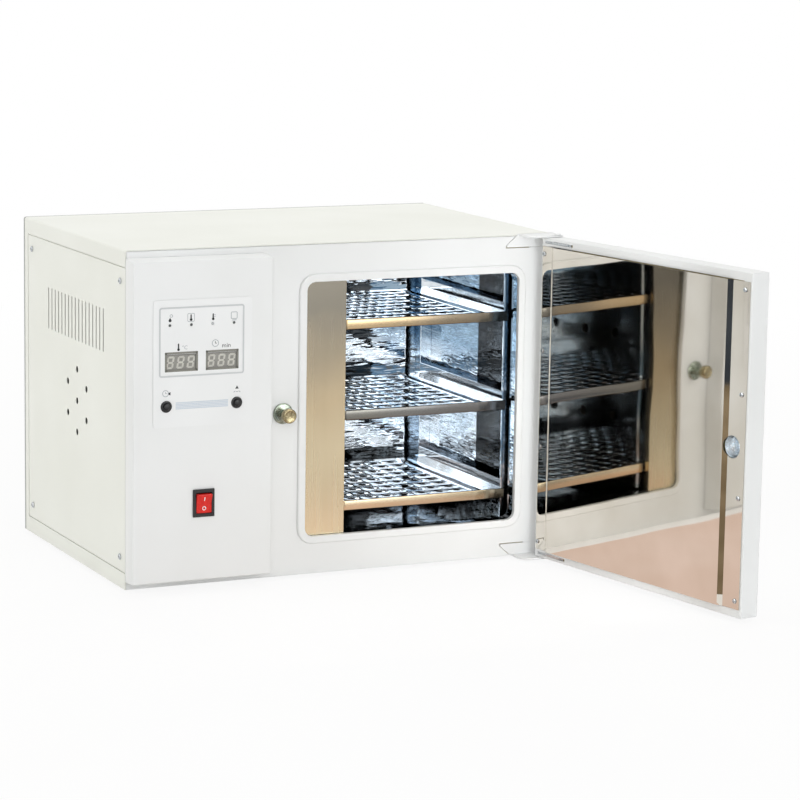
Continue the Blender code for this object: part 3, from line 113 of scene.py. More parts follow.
paintLook = {"white": "#E9EAEA", "shade": "#E4E5E4", "cloud": 7.0, "roughness": (0.36, 0.46), "peel": 1.6,
             "lift": 0.12, "depth": 0.06, "edge": 0.9, "edgeBand": 4.5, "edgeBlur": 0.6}


def powderCoat(name, white, shade, rearEdgeGrey=None):
    # polyester powder baked on steel: satin white with a faint orange peel and soft edges
    look = paintLook
    material, tree, shader, coords = startMaterial(name, IOR=1.5)
    _, colour = clouded(tree, coords, look["cloud"], 2.0, shade, white)
    if rearEdgeGrey:
        # within 4.5 mm of the rear of the case the colour turns grey, with a soft start
        depth = addNode(tree, "SeparateXYZ", {"Vector": coords}).outputs["Y"]
        start = spot(0, caseSize["depth"] - look["edgeBand"], 0).y
        share = addNode(tree, "MapRange", {"Value": depth, "From Min": start,
                                           "From Max": start + look["edgeBlur"] * mm})
        colour = addNode(tree, "Mix", {0: share, 6: colour, 7: rearEdgeGrey}, data_type="RGBA").outputs[2]
    peel = addNode(tree, "TexNoise", {"Vector": coords, "Scale": 1 / (look["peel"] * mm), "Detail": 2.0})
    edge = addNode(tree, "Bevel", {"Radius": look["edge"] * mm}, samples=4)
    bump = addNode(tree, "Bump", {"Height": peel, "Strength": look["lift"], "Distance": look["depth"] * mm,
                                  "Normal": edge})
    wireSurface(tree, shader, colour, peel, look["roughness"], bump)
    return material


# the warm cast of the light and dark colours is painted reflection of warm surroundings, with a slight heat tint
mirrorLook = {"light": "#E6E1D8", "dark": "#D6CFC3", "wave": 130.0, "waveDepth": 1.5, "rub": 1.2, "rubAcross": 60.0,
              "ripple": 24.0, "rippleDepth": 0.6}


def polishedSteel(name, light, dark, roughness, wave=0.35, ripple=0.0, patch=9.0):
    # 304 stainless sheet, buffed to a mirror: long shallow waves, small dents and fine rubbing marks
    look = mirrorLook
    material, tree, shader, coords = startMaterial(name, Metallic=1.0)
    _, colour = clouded(tree, coords, patch, 3.0, dark, light)
    stretch = addNode(tree, "Mapping", {"Vector": coords, "Scale": (look["rubAcross"], look["rubAcross"],
                                                                    1 / (look["rub"] * mm))})
    rub = addNode(tree, "TexNoise", {"Vector": stretch, "Scale": 1.0, "Detail": 4.0})
    waves = addNode(tree, "TexNoise", {"Vector": coords, "Scale": 1 / (look["wave"] * mm), "Detail": 1.0})
    bump = addNode(tree, "Bump", {"Height": waves, "Strength": wave, "Distance": look["waveDepth"] * mm})
    if ripple:
        dents = addNode(tree, "TexNoise", {"Vector": coords, "Scale": 1 / (look["ripple"] * mm), "Detail": 1.5})
        bump = addNode(tree, "Bump", {"Height": dents, "Strength": ripple, "Distance": look["rippleDepth"] * mm,
                                      "Normal": bump})
    wireSurface(tree, shader, colour, rub, roughness, bump)
    return material


beltLook = {"edge": 0.3, "lift": 0.08, "depth": 0.04}


def brushedSteel(name, light, dark, roughness, along=(8.0, 900.0, 900.0)):
    # stainless sheet with a belt-ground finish: fine streaks in one direction, about 1 mm apart
    look = beltLook
    material, tree, shader, coords = startMaterial(name, Metallic=1.0)
    stretch = addNode(tree, "Mapping", {"Vector": coords, "Scale": along})
    streaks, colour = clouded(tree, stretch, 1.0, 3.0, dark, light)
    edge = addNode(tree, "Bevel", {"Radius": look["edge"] * mm}, samples=4)
    bump = addNode(tree, "Bump", {"Height": streaks, "Strength": look["lift"], "Distance": look["depth"] * mm,
                                  "Normal": edge})
    wireSurface(tree, shader, colour, streaks, roughness, bump)
    return material


tintLook = {"low": 40.0, "high": 330.0, "bottom": "#E0D3B3", "middle": "#AE9D80", "top": "#6E695F", "wander": 0.22,
            "sootAndReflection": "#8F8A80", "sooty": 0.14, "clean": "#E2E8EC", "front": 9.0, "blur": 4.0, "lift": 0.05,
            "depth": 0.04, "outer": (0.22, 0.32), "inner": (0.05, 0.10)}


def heatTintAndReflectionSteel(name):
    # stainless beside the heater: straw tint from the heat, with a painted reflection that turns it deeper and greyer
    # towards the top, and faint soot;
    # the part that faces the shelves is cleaner and more polished
    look = tintLook
    material, tree, shader, coords = startMaterial(name, Metallic=1.0)
    axes = addNode(tree, "SeparateXYZ", {"Vector": coords})
    wander = addNode(tree, "TexNoise", {"Vector": coords, "Scale": 9.0, "Detail": 2.0})
    # painted reflection: the colour deepens and greys from 40 mm up to 330 mm
    share = addNode(tree, "MapRange", {"Value": axes.outputs["Z"], "From Min": look["low"] * mm,
                                       "From Max": look["high"] * mm})
    moved = addNode(tree, "Math", {0: wander, 1: look["wander"], 2: share}, operation="MULTIPLY_ADD")
    tint = addNode(tree, "ValToRGB", {"Fac": moved},
                   [(0.1, look["bottom"]), (0.66, look["middle"]), (1.0, look["top"])])
    streaks = addNode(tree, "Mapping", {"Vector": coords, "Scale": (160.0, 160.0, 4.0)})
    grain = addNode(tree, "TexNoise", {"Vector": streaks, "Scale": 1.0, "Detail": 2.0})
    sootAndDarkReflection = addNode(tree, "MapRange", {"Value": grain, "To Min": 0.0, "To Max": look["sooty"]})
    sootAndReflection = addNode(tree, "Mix", {0: sootAndDarkReflection, 6: tint, 7: look["sootAndReflection"]}, data_type="RGBA").outputs[2]
    edge = spot(0, look["front"], 0).y
    inside = addNode(tree, "MapRange", {"Value": axes.outputs["Y"], "From Min": edge,
                                        "From Max": edge + look["blur"] * mm})
    colour = addNode(tree, "Mix", {0: inside, 6: sootAndReflection, 7: look["clean"]}, data_type="RGBA").outputs[2]
    outer, inner = [addNode(tree, "MapRange", {"Value": grain, "To Min": low, "To Max": high})
                    for low, high in (look["outer"], look["inner"])]
    rough = addNode(tree, "Mix", {0: inside, 2: outer, 3: inner})
    bump = addNode(tree, "Bump", {"Height": grain, "Strength": look["lift"], "Distance": look["depth"] * mm})
    setInputs(tree, shader, {"Base Color": colour, "Roughness": rough, "Normal": bump})
    return material


lipLook = {"from": 269.8, "to": 477.0, "share": (-0.25, 0.75), "wander": 0.5, "roughness": (0.16, 0.28), "lift": 0.08,
           "depth": 0.04}


def lipSteel(name, left, right):
    # bent front edge of a shelf, tinted by the heat: brushed along its length and uneven from end to end, with a
    # painted reflection in its colour ramp that differs from shelf to shelf
    look = lipLook
    material, tree, shader, coords = startMaterial(name, Metallic=1.0)
    across = addNode(tree, "SeparateXYZ", {"Vector": coords}).outputs["X"]
    wander = addNode(tree, "TexNoise", {"Vector": coords, "Scale": 14.0, "Detail": 2.0})
    share = addNode(tree, "MapRange", {"Value": across, "From Min": spot(look["from"], 0, 0).x,
                                       "From Max": spot(look["to"], 0, 0).x, "To Min": look["share"][0],
                                       "To Max": look["share"][1]})
    moved = addNode(tree, "Math", {0: wander, 1: look["wander"], 2: share}, operation="MULTIPLY_ADD")
    colour = addNode(tree, "ValToRGB", {"Fac": moved}, [(0.1, left), (0.9, right)])
    stretch = addNode(tree, "Mapping", {"Vector": coords, "Scale": (14.0, 600.0, 600.0)})
    grain = addNode(tree, "TexNoise", {"Vector": stretch, "Scale": 1.0, "Detail": 3.0})
    bump = addNode(tree, "Bump", {"Height": grain, "Strength": look["lift"], "Distance": look["depth"] * mm})
    wireSurface(tree, shader, colour, grain, look["roughness"], bump)
    return material


# the grey and dark colours of the front band and the upper bluish-grey tone are painted reflections
chamberLook = {"light": "#FCFEFF", "dark": "#D3DEE8", "wave": 130.0, "waveLift": 0.8, "waveDepth": 1.5,
               "ripple": 26.0, "rippleLift": 0.6, "rippleDepth": 0.6, "floorTop": 58.0, "floorBlur": 20.0,
               "bottomDark": "#15181A", "clear": "#62696D", "spot": 9.0, "sootAndReflection": "#7A8286", "sootAndDarkReflection": "#23272A",
               "paintedReflectionBand": (18.0, 114.0), "wall": 478.0, "blur": 2.0, "upper": "#8FA6B8", "fade": (190.0, 228.0),
               "roughness": (0.02, 0.08)}


def chamberSteel(name):
    # bright annealed stainless, oil-canned so that reflections bend; its bottom is dark and speckled,
    # and a painted reflection darkens its front third, most of all on the right wall, with a painted bluish-grey
    # reflection on the upper right wall
    look = chamberLook
    material, tree, shader, coords = startMaterial(name, Metallic=1.0)
    _, walls = clouded(tree, coords, 9.0, 3.0, look["dark"], look["light"])
    # below 58 mm, fading out by 78 mm, the walls and floor turn dark and speckled
    speck = addNode(tree, "TexNoise", {"Vector": coords, "Scale": 1 / (look["spot"] * mm), "Detail": 3.0})
    bottomSpeckle = addNode(tree, "ValToRGB", {"Fac": speck}, [(0.45, look["bottomDark"]), (0.68, look["clear"])])
    axes = addNode(tree, "SeparateXYZ", {"Vector": coords})
    level = spot(0, 0, look["floorTop"]).z
    start, end = [spot(0, place, 0).y for place in look["paintedReflectionBand"]]
    wall = spot(look["wall"], 0, 0).x
    low, high = [spot(0, 0, place).z for place in look["fade"]]
    bottom, begun, ended, right, upper = [
        addNode(tree, "MapRange", {"Value": axes.outputs[axis], "From Min": begin, "From Max": stop, "To Min": first,
                                   "To Max": 1 - first})
        for axis, begin, stop, first in (("Z", level, level + look["floorBlur"] * mm, 1.0),
                                         ("Y", start, start + mm, 0.0), ("Y", end, end + look["blur"] * mm, 1.0),
                                         ("X", wall, wall + look["blur"] * mm, 0.0), ("Z", low, high, 0.0))]
    # painted reflection: a dark band on the walls from 18 to 114 mm behind the front, darkest on the right wall, over
    # a bluish-grey tone on the right wall that rises in from 190 mm to full at 228 mm
    paintedReflectionBand = addNode(tree, "Math", {0: begun, 1: ended}, operation="MULTIPLY")
    film = addNode(tree, "Mix", {0: right, 6: look["sootAndReflection"], 7: look["sootAndDarkReflection"]}, data_type="RGBA").outputs[2]
    upper = addNode(tree, "Math", {0: upper, 1: right}, operation="MULTIPLY")
    for share, colour in ((upper, look["upper"]), (paintedReflectionBand, film), (bottom, bottomSpeckle)):
        walls = addNode(tree, "Mix", {0: share, 6: walls, 7: colour}, data_type="RGBA").outputs[2]
    waves = addNode(tree, "TexNoise", {"Vector": coords, "Scale": 1 / (look["wave"] * mm), "Detail": 1.0})
    bump = addNode(tree, "Bump", {"Height": waves, "Strength": look["waveLift"], "Distance": look["waveDepth"] * mm})
    flat = addNode(tree, "Mapping", {"Vector": coords, "Scale": (1.0, 1.0, 5.0)})
    dents = addNode(tree, "TexNoise", {"Vector": flat, "Scale": 1 / (look["ripple"] * mm), "Detail": 1.5})
    bump = addNode(tree, "Bump", {"Height": dents, "Strength": look["rippleLift"], "Normal": bump,
                                  "Distance": look["rippleDepth"] * mm})
    wireSurface(tree, shader, walls, speck, look["roughness"], bump)
    return material


grainLook = {
    "zinc": {"scale": 420.0, "detail": 4.0, "roughness": (0.16, 0.34), "shader": {"Metallic": 1.0}},
    "resin": {"scale": 160.0, "detail": 2.0, "roughness": (0.25, 0.4), "shader": {"IOR": 1.54}},
    "ink": {"scale": 2200.0, "detail": 2.0, "roughness": (0.5, 0.65), "shader": {"IOR": 1.45}},
}


def grainMaterial(kind, name, base, shade):
    # zinc is bright plating on turned steel: pale grey metal with a faint cloudy grain
    # resin is the cast epoxy face of an unlit display: grey with a soft gloss
    # ink is screen printing: matt, with slightly uneven cover
    look = grainLook[kind]
    material, tree, shader, coords = startMaterial(name, **look["shader"])
    grain, colour = clouded(tree, coords, look["scale"], look["detail"], shade, base)
    wireSurface(tree, shader, colour, grain, look["roughness"])
    return material


plasticLook = {"edge": 0.25, "lift": 0.2}


def mouldedPlastic(name, base, shade, grain=0.5, roughness=(0.32, 0.5), depth=0.03):
    # injection moulded plastic with the fine spark texture of its mould
    look = plasticLook
    material, tree, shader, coords = startMaterial(name, IOR=1.5)
    speck, colour = clouded(tree, coords, 1 / (grain * mm), 3.0, shade, base)
    edge = addNode(tree, "Bevel", {"Radius": look["edge"] * mm}, samples=4)
    bump = addNode(tree, "Bump", {"Height": speck, "Strength": look["lift"], "Distance": depth * mm, "Normal": edge})
    wireSurface(tree, shader, colour, speck, roughness, bump)
    return material


woolLook = {"fibre": 320.0, "twist": 1.5, "light": "#C9BA8C", "dark": "#8C7A4E", "lift": 0.8, "depth": 1.0}


def mineralWool(name):
    # rock wool mat: matted fibres, yellow-brown, quite matt
    look = woolLook
    material, tree, shader, coords = startMaterial(name, Roughness=0.95, IOR=1.45)
    fibre, colour = clouded(tree, coords, look["fibre"], 8.0, look["dark"], look["light"], Distortion=look["twist"])
    bump = addNode(tree, "Bump", {"Height": fibre, "Strength": look["lift"], "Distance": look["depth"] * mm})
    setInputs(tree, shader, {"Base Color": colour, "Normal": bump})
    return material


boardLook = {"tracks": 260.0, "track": "#2F7A45", "mask": "#14542C", "lift": 0.3, "depth": 0.1}


def circuitBoard(name):
    # glass epoxy laminate under green solder mask, with copper tracks just raised
    look = boardLook
    material, tree, shader, coords = startMaterial(name, IOR=1.55, Roughness=0.35)
    tracks = addNode(tree, "TexVoronoi", {"Vector": coords, "Scale": look["tracks"]}, distance="CHEBYCHEV")
    colour = addNode(tree, "ValToRGB", {"Fac": tracks}, [(0.2, look["track"]), (0.35, look["mask"])])
    bump = addNode(tree, "Bump", {"Height": tracks, "Strength": look["lift"], "Distance": look["depth"] * mm})
    setInputs(tree, shader, {"Base Color": colour, "Normal": bump})
    return material


filmLook = {"grain": 1800.0, "cloud": 14.0, "lift": 0.08, "depth": 0.03, "roughness": (0.30, 0.42)}


def printedFilm(name, base, shade):
    # screen-printed polyester film: fine matt grain, slightly cooler than the paint
    look = filmLook
    material, tree, shader, coords = startMaterial(name, IOR=1.57)
    grain = addNode(tree, "TexNoise", {"Vector": coords, "Scale": look["grain"], "Detail": 2.0})
    _, colour = clouded(tree, coords, look["cloud"], 1.0, shade, base)
    bump = addNode(tree, "Bump", {"Height": grain, "Strength": look["lift"], "Distance": look["depth"] * mm})
    wireSurface(tree, shader, colour, grain, look["roughness"], bump)
    return material


finish = {
    "paint": powderCoat("powderCoatedSteelWhite", paintLook["white"], paintLook["shade"]),
    "warmPaint": powderCoat("powderCoatedSteelCase", "#EBECE5", "#E6E7DF", "#9C9F9B"),
    "mirror": polishedSteel("mirrorPolishedStainless", mirrorLook["light"], mirrorLook["dark"], (0.02, 0.05)),
    "chamber": chamberSteel("brightAnnealedStainlessChamber"),
    "shelf": polishedSteel("polishedStainlessShelf", "#FEFFFF", "#EAF1F6", (0.03, 0.07), 0.3, 0.25, 20.0),
    # the lip colours, different for each shelf and changing from end to end, are heat tint with painted reflection
    "lipTop": lipSteel("heatTintAndReflectionLipTop", "#C1A984", "#74716B"),
    "lipMiddle": lipSteel("heatTintAndReflectionLipMiddle", "#7B7973", "#78787A"),
    "lipBottom": lipSteel("heatTintAndReflectionLipBottom", "#DBC8A9", "#C0B49C"),
    # dark steel for the cut edges of the shelves: dull sheared steel, darkened further as painted shade inside the
    # holes
    "darkHoleWalls": brushedSteel("paintedShadeHoleWallSteel", "#4A4E52", "#26292C", (0.35, 0.5)),
    "strawAndReflection": heatTintAndReflectionSteel("heatTintAndPaintedReflectionDuct"),
    "rack": polishedSteel("polishedStainlessRack", "#F6F8FA", "#D8DEE4", (0.06, 0.14), 0.3, 0.2, 30.0),
    "zinc": grainMaterial("zinc", "zincPlatedSteel", "#C9CCCE", "#AEB2B5"),
    # the near-white bluish colour of the catch cup is painted light that offsets the shade inside it, on zinc plating
    "cup": grainMaterial("zinc", "paleZincWithPaintedLight", "#F6F9FB", "#E4EAEE"),
    "nickel": grainMaterial("zinc", "passivatedZincOnTurnedSteel", "#AEB6A8", "#7C8478"),
    "brass": grainMaterial("zinc", "yellowChromatedZincOnTurnedSteel", "#B5A988", "#7E7254"),
    "blackPlastic": mouldedPlastic("mouldedBlackNylon", "#121213", "#08080A"),
    "redPlastic": mouldedPlastic("mouldedRedPolycarbonate", "#E0231C", "#C81712", 3.0, (0.12, 0.22), 0.01),
    "rubber": mouldedPlastic("mouldedBlackRubber", "#262627", "#161617", 0.8, (0.7, 0.85), 0.08),
    "phenolic": mouldedPlastic("mouldedPhenolic", "#2A211C", "#1A1412", 0.7),
    "wool": mineralWool("mineralWoolMat"),
    "board": circuitBoard("greenCircuitBoard"),
    "film": printedFilm("printedPolyesterFilm", "#EAEBEB", "#E6E7E7"),
    "lens": grainMaterial("resin", "lampLensGrey", "#4E5052", "#3C3E40"),
    "paleLens": grainMaterial("resin", "lampLensPale", "#B9BCBE", "#A8ABAE"),
    "displayFace": grainMaterial("resin", "displayResinGrey", "#8F8D86", "#7F7D77"),
    "displayRim": grainMaterial("resin", "displayResinDark", "#6C6A66", "#5E5C59"),
    "segment": grainMaterial("resin", "displaySegmentResin", "#C9C7BE", "#B8B6AD"),
    "darkInk": grainMaterial("ink", "darkScreenInk", "#202225", "#2C2F33"),
    "greyInk": grainMaterial("ink", "greyScreenInk", "#A9AEB2", "#9DA2A7"),
    # the grey of the frame line is painted shade on the embossed frame rim
    "frameRimShade": grainMaterial("ink", "paintedShadeFrameRim", "#CBCDCE", "#C3C6C8"),
    "borderInk": grainMaterial("ink", "displayBorderScreenInk", "#8A8981", "#76756D"),
    "paleInk": grainMaterial("ink", "paleBlueScreenInk", "#CDD6DF", "#C3CCD6"),
    "whiteInk": grainMaterial("ink", "whiteScreenInk", "#F4F5F5", "#ECEEEF"),
    "dullSteel": brushedSteel("heatDulledSteelTube", "#6E6862", "#4C4743", (0.35, 0.5), (300.0, 300.0, 300.0)),
    "laminated": brushedSteel("laminatedIron", "#5A5552", "#3C3836", (0.4, 0.6), (6.0, 6.0, 1600.0)),
}
print("materials made")

nodeFinish = {
    "warmPaint": ["case_wrap", "side_cover", "base_pan", "rear_panel"],
    "paint": ["front_frame", "fascia_box", "door_skin", "hinge_bracket_bottom", "hinge_bracket_top",
              "hinge_pin_bottom", "hinge_pin_top"],
    "mirror": ["door_liner"],
    "chamber": ["chamber_liner"],
    "strawAndReflection": ["duct_cover"],
    "rack": ["shelf_rack_left", "shelf_rack_right", "temperature_sensor"],
    "shelf": ["shelf_bottom", "shelf_middle", "shelf_top"],
    "zinc": ["bay_partition", "hinge_plate_bottom", "hinge_plate_top",
             "side_screw_1", "side_screw_2", "side_screw_3", "side_screw_4", "catch_socket"]
            + [f"liner_screw_{count}" for count in range(1, 9)],
    "nickel": ["latch_stud"],
    "blackPlastic": ["button_body_left", "button_body_right", "button_cap_left", "button_cap_right",
                     "switch_housing", "cord_gland", "fuse_holder", "door_knob"],
    "redPlastic": ["switch_rocker"],
    "rubber": ["foot_front_left", "foot_front_right", "foot_rear_left", "foot_rear_right"],
    "phenolic": ["thermal_cutout"],
    "wool": ["chamber_insulation", "door_insulation"],
    "board": ["control_board", "power_board"],
    "film": ["control_overlay"],
    "displayFace": ["display_temperature", "display_time"],
    "dullSteel": ["heater_element"],
    "laminated": ["transformer"],
}
for finishName, nodeNames in nodeFinish.items():
    for nodeName in nodeNames:
        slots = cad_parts[nodeName].material_slots
        for slotIndex in range(len(slots)):
            slots[slotIndex].material = finish[finishName]
print("carried-over nodes finished")


def linkedPiece(name, bm, finishNames=(), smooth=False):
    mesh = bpy.data.meshes.new(name)
    bm.to_mesh(mesh)
    bm.free()
    piece = bpy.data.objects.new(name, mesh)
    bpy.context.scene.collection.objects.link(piece)
    for finishName in finishNames:
        mesh.materials.append(finish[finishName])
    if smooth:
        mesh.shade_smooth()
        mesh.set_sharp_from_angle(angle=math.radians(38))
    return piece


def finishPiece(name, bm, finishName, body, replaced=(), smooth=True, turn=None, extra=()):
    bmesh.ops.remove_doubles(bm, verts=bm.verts, dist=0.000001)
    bmesh.ops.recalc_face_normals(bm, faces=bm.faces)
    if turn:
        bmesh.ops.transform(bm, matrix=turn, verts=bm.verts)
    piece = linkedPiece(name, bm, (finishName, *extra), smooth)
    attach(piece, body)
    if replaced:
        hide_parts(*replaced)
    return piece


def sharpEdges(bm, angle):
    return [edge for edge in bm.edges if len(edge.link_faces) == 2 and edge.calc_face_angle(0) > math.radians(angle)]


def rounded(bm, geom, offset, segments, affect="EDGES", material=-1):
    bmesh.ops.bevel(bm, geom=geom, offset=offset, offset_type="OFFSET", segments=segments, profile=0.5,
                    affect=affect, clamp_overlap=True, material=material)


def extruded(bm, push):
    grown = bmesh.ops.extrude_face_region(bm, geom=list(bm.faces))["geom"]
    bmesh.ops.translate(bm, vec=push, verts=[item for item in grown if isinstance(item, bmesh.types.BMVert)])


def spunForm(bm, profile, steps=64):
    line = [bm.verts.new((radius * mm, 0, along * mm)) for radius, along in profile]
    edges = [bm.edges.new(pair) for pair in zip(line, line[1:])]
    bmesh.ops.spin(bm, geom=line + edges, cent=(0, 0, 0), axis=(0, 0, 1), angle=math.tau, steps=steps, use_merge=True)
    bmesh.ops.remove_doubles(bm, verts=bm.verts, dist=0.000001)
    bmesh.ops.recalc_face_normals(bm, faces=bm.faces)


def aimed(centre, direction):
    return Matrix.Translation(centre) @ Vector(direction).to_track_quat("Z", "Y").to_matrix().to_4x4()


def spunPiece(name, profile, centre, direction, finishName, body, replaced, turn=None, edge=0.2, steps=64):
    bm = bmesh.new()
    spunForm(bm, profile, steps)
    rounded(bm, sharpEdges(bm, 30), edge * mm, 2)
    bmesh.ops.transform(bm, matrix=aimed(centre, direction), verts=bm.verts)
    return finishPiece(name, bm, finishName, body, replaced, turn=turn)


def boxForm(bm, low, high):
    made = bmesh.ops.create_cube(bm, size=1.0)["verts"]
    size = Vector(high) - Vector(low)
    bmesh.ops.scale(bm, vec=size * mm, verts=made)
    bmesh.ops.translate(bm, vec=spot(*((Vector(low) + Vector(high)) / 2)), verts=made)
    return made


shelfLook = {"width": 207.2, "depth": 214.0, "front": 12.0, "left": 269.8, "levels": (78.5, 183.5, 288.5),
             "lip": 12.5, "hem": 5.5, "sheet": 1.0, "columns": 7, "rows": 9, "pitch": 22.6, "hole": 4.5,
             "firstX": 15.3, "firstY": 11.0, "crease": 167.2, "creaseWidth": 3.0, "creaseDepth": 0.5, "bend": 1.2}


def grownRim(bm, axis, place, steps):
    # extrudes the boundary edges that lie at a place along an axis, once for each step
    rim = [edge for edge in bm.edges
           if edge.is_boundary and all(abs(vert.co[axis] - place) < 0.01 for vert in edge.verts)]
    for push in steps:
        grown = bmesh.ops.extrude_edge_only(bm, edges=rim)["geom"]
        rim = [item for item in grown if isinstance(item, bmesh.types.BMEdge)]
        bmesh.ops.translate(bm, vec=push, verts=[item for item in grown if isinstance(item, bmesh.types.BMVert)])


def perforatedShelf(name, level, body, replaced):
    look = shelfLook
    parts = 6  # small squares along a cell, so that a hole gets sixteen corners
    pitch = look["pitch"]
    spanX = look["columns"] * pitch
    spanY = look["rows"] * pitch
    bm = bmesh.new()
    bmesh.ops.create_grid(bm, x_segments=look["columns"] * parts, y_segments=look["rows"] * parts, size=0.5)
    bmesh.ops.scale(bm, vec=(spanX, spanY, 1), verts=bm.verts)
    bmesh.ops.translate(bm, vec=(spanX / 2, spanY / 2, 0), verts=bm.verts)
    inner = pitch / 3
    doomed = []
    for face in bm.faces:
        centre = face.calc_center_median()
        if max(abs(centre.x % pitch - pitch / 2), abs(centre.y % pitch - pitch / 2)) < inner:
            doomed.append(face)
    for vert in bm.verts:
        u = (vert.co.x + 0.001) % pitch - 0.001 - pitch / 2
        v = (vert.co.y + 0.001) % pitch - 0.001 - pitch / 2
        if abs(max(abs(u), abs(v)) - inner) < 0.01:
            rounder = look["hole"] / math.hypot(u, v)
            vert.co.x += u * (rounder - 1)
            vert.co.y += v * (rounder - 1)
    bmesh.ops.delete(bm, geom=doomed, context="FACES")
    left = look["firstX"] - pitch / 2
    front = look["firstY"] - pitch / 2
    for vert in bm.verts:
        if vert.co.y < 0.01:
            vert.co.y = -front  # the first row of holes comes nearer to the bend than half a pitch
    half = look["creaseWidth"] / 2
    toCrease = look["crease"] - left - spanX
    rest = look["width"] - look["crease"] - look["creaseWidth"]
    grownRim(bm, 0, 0, [(-left, 0, 0)])
    grownRim(bm, 0, spanX, [(toCrease, 0, 0), (half, 0, -look["creaseDepth"]), (half, 0, look["creaseDepth"]),
                            (rest, 0, 0)])
    grownRim(bm, 1, spanY, [(0, look["depth"] - front - spanY, 0)])
    flatFaces = set(bm.faces)
    grownRim(bm, 1, -front, [(0, 0, look["sheet"] - look["lip"]), (0, look["hem"], 0)])
    for face in bm.faces:
        face.material_index = 0 if face in flatFaces else 1
    rounded(bm, sharpEdges(bm, 60), look["bend"], 4, material=1)
    bmesh.ops.recalc_face_normals(bm, faces=bm.faces)
    if next(face for face in bm.faces if abs(face.normal.z) > 0.9).normal.z < 0:
        bmesh.ops.reverse_faces(bm, faces=bm.faces)
    bmesh.ops.scale(bm, vec=(mm, mm, mm), verts=bm.verts)
    bmesh.ops.translate(bm, vec=spot(look["left"] + left, look["front"] + front, level), verts=bm.verts)
    lip = f"lip{replaced.split('_')[1].capitalize()}"
    piece = linkedPiece(name, bm, ("shelf", lip, "darkHoleWalls"), True)
    sheet = piece.modifiers.new("sheet", "SOLIDIFY")
    sheet.thickness = look["sheet"] * mm
    sheet.offset = -1
    # the rim faces, which are the hole walls and cut edges, take the dark steel: painted shade inside the holes
    sheet.material_offset_rim = 2
    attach(piece, body)
    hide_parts(replaced)
    return piece


for levelName, level in zip(("bottom", "middle", "top"), shelfLook["levels"]):
    perforatedShelf(f"perforated_shelf_{levelName}", level, f"{levelName}_tray", f"shelf_{levelName}")
print("shelves made")


screwLook = {"radius": 3.6, "height": 1.8, "slot": 0.7, "reach": 2.1, "deep": 0.8, "edge": 0.12, "root": -4.0,
             "coverX": -0.1, "coverY": (15.0, 315.0), "coverZ": (35.0, 344.0), "linerX": (524.0, 176.0),
             "linerY": -6.2, "linerInset": 20.0, "linerRows": 4, "linerRadius": 2.8, "linerHeight": 1.1}


def crossScrew(name, seat, direction, replaced, body, turn=None, radius=screwLook["radius"],
               height=screwLook["height"]):
    look = screwLook
    bm = bmesh.new()
    spunForm(bm, [(0, look["root"]), (radius * 0.5, look["root"]), (radius * 0.5, 0), (radius, 0),
                  (radius, height * 0.45), (radius * 0.86, height * 0.8), (radius * 0.5, height), (0, height)], 32)
    rounded(bm, sharpEdges(bm, 30), look["edge"] * mm, 2)
    bmesh.ops.transform(bm, matrix=aimed(seat, direction), verts=bm.verts)
    piece = finishPiece(name, bm, "zinc", body, [replaced])
    cross = bmesh.new()
    for wide, tall in ((look["reach"], look["slot"]), (look["slot"], look["reach"])):
        made = bmesh.ops.create_cube(cross, size=1.0)["verts"]
        size = (2 * wide * mm * radius / look["radius"], tall * mm, 2 * look["deep"] * mm)
        bmesh.ops.scale(cross, vec=size, verts=made)
        bmesh.ops.translate(cross, vec=(0, 0, height * mm), verts=made)
    bmesh.ops.transform(cross, matrix=aimed(seat, direction), verts=cross.verts)
    return cutOut(piece, cross, turn)


def cutOut(piece, cutterForm, turn=None):
    cutter = linkedPiece("cutter", cutterForm)
    cut = piece.modifiers.new("cut", "BOOLEAN")
    cut.operation = "DIFFERENCE"
    cut.solver = "EXACT"
    cut.use_self = True
    cut.object = cutter
    bpy.context.view_layer.update()
    ready = bpy.data.meshes.new_from_object(piece.evaluated_get(bpy.context.evaluated_depsgraph_get()))
    piece.modifiers.clear()
    old = piece.data
    ready.name = old.name
    piece.data = ready
    bpy.data.meshes.remove(old)
    bpy.data.objects.remove(cutter, do_unlink=True)
    if turn:
        ready.transform(turn)
    return piece


coverScrews = [(y, z) for z in screwLook["coverZ"] for y in screwLook["coverY"]]
for count, (y, z) in enumerate(coverScrews, 1):
    crossScrew(f"cover_screw_{count}", spot(screwLook["coverX"], y, z), (-1, 0, 0), f"side_screw_{count}", "case")
inset, rowCount = screwLook["linerInset"], screwLook["linerRows"]
linerRows = [inset + (caseSize["height"] - 2 * inset) * row / (rowCount - 1) for row in range(rowCount)]
linerScrews = [(x, z) for x in screwLook["linerX"] for z in linerRows]
for count, (x, z) in enumerate(linerScrews, 1):
    crossScrew(f"liner_pan_screw_{count}", spot(x, screwLook["linerY"], z), (0, 1, 0), f"liner_screw_{count}", "door",
               doorTurn(), screwLook["linerRadius"], screwLook["linerHeight"])
print("screws made")


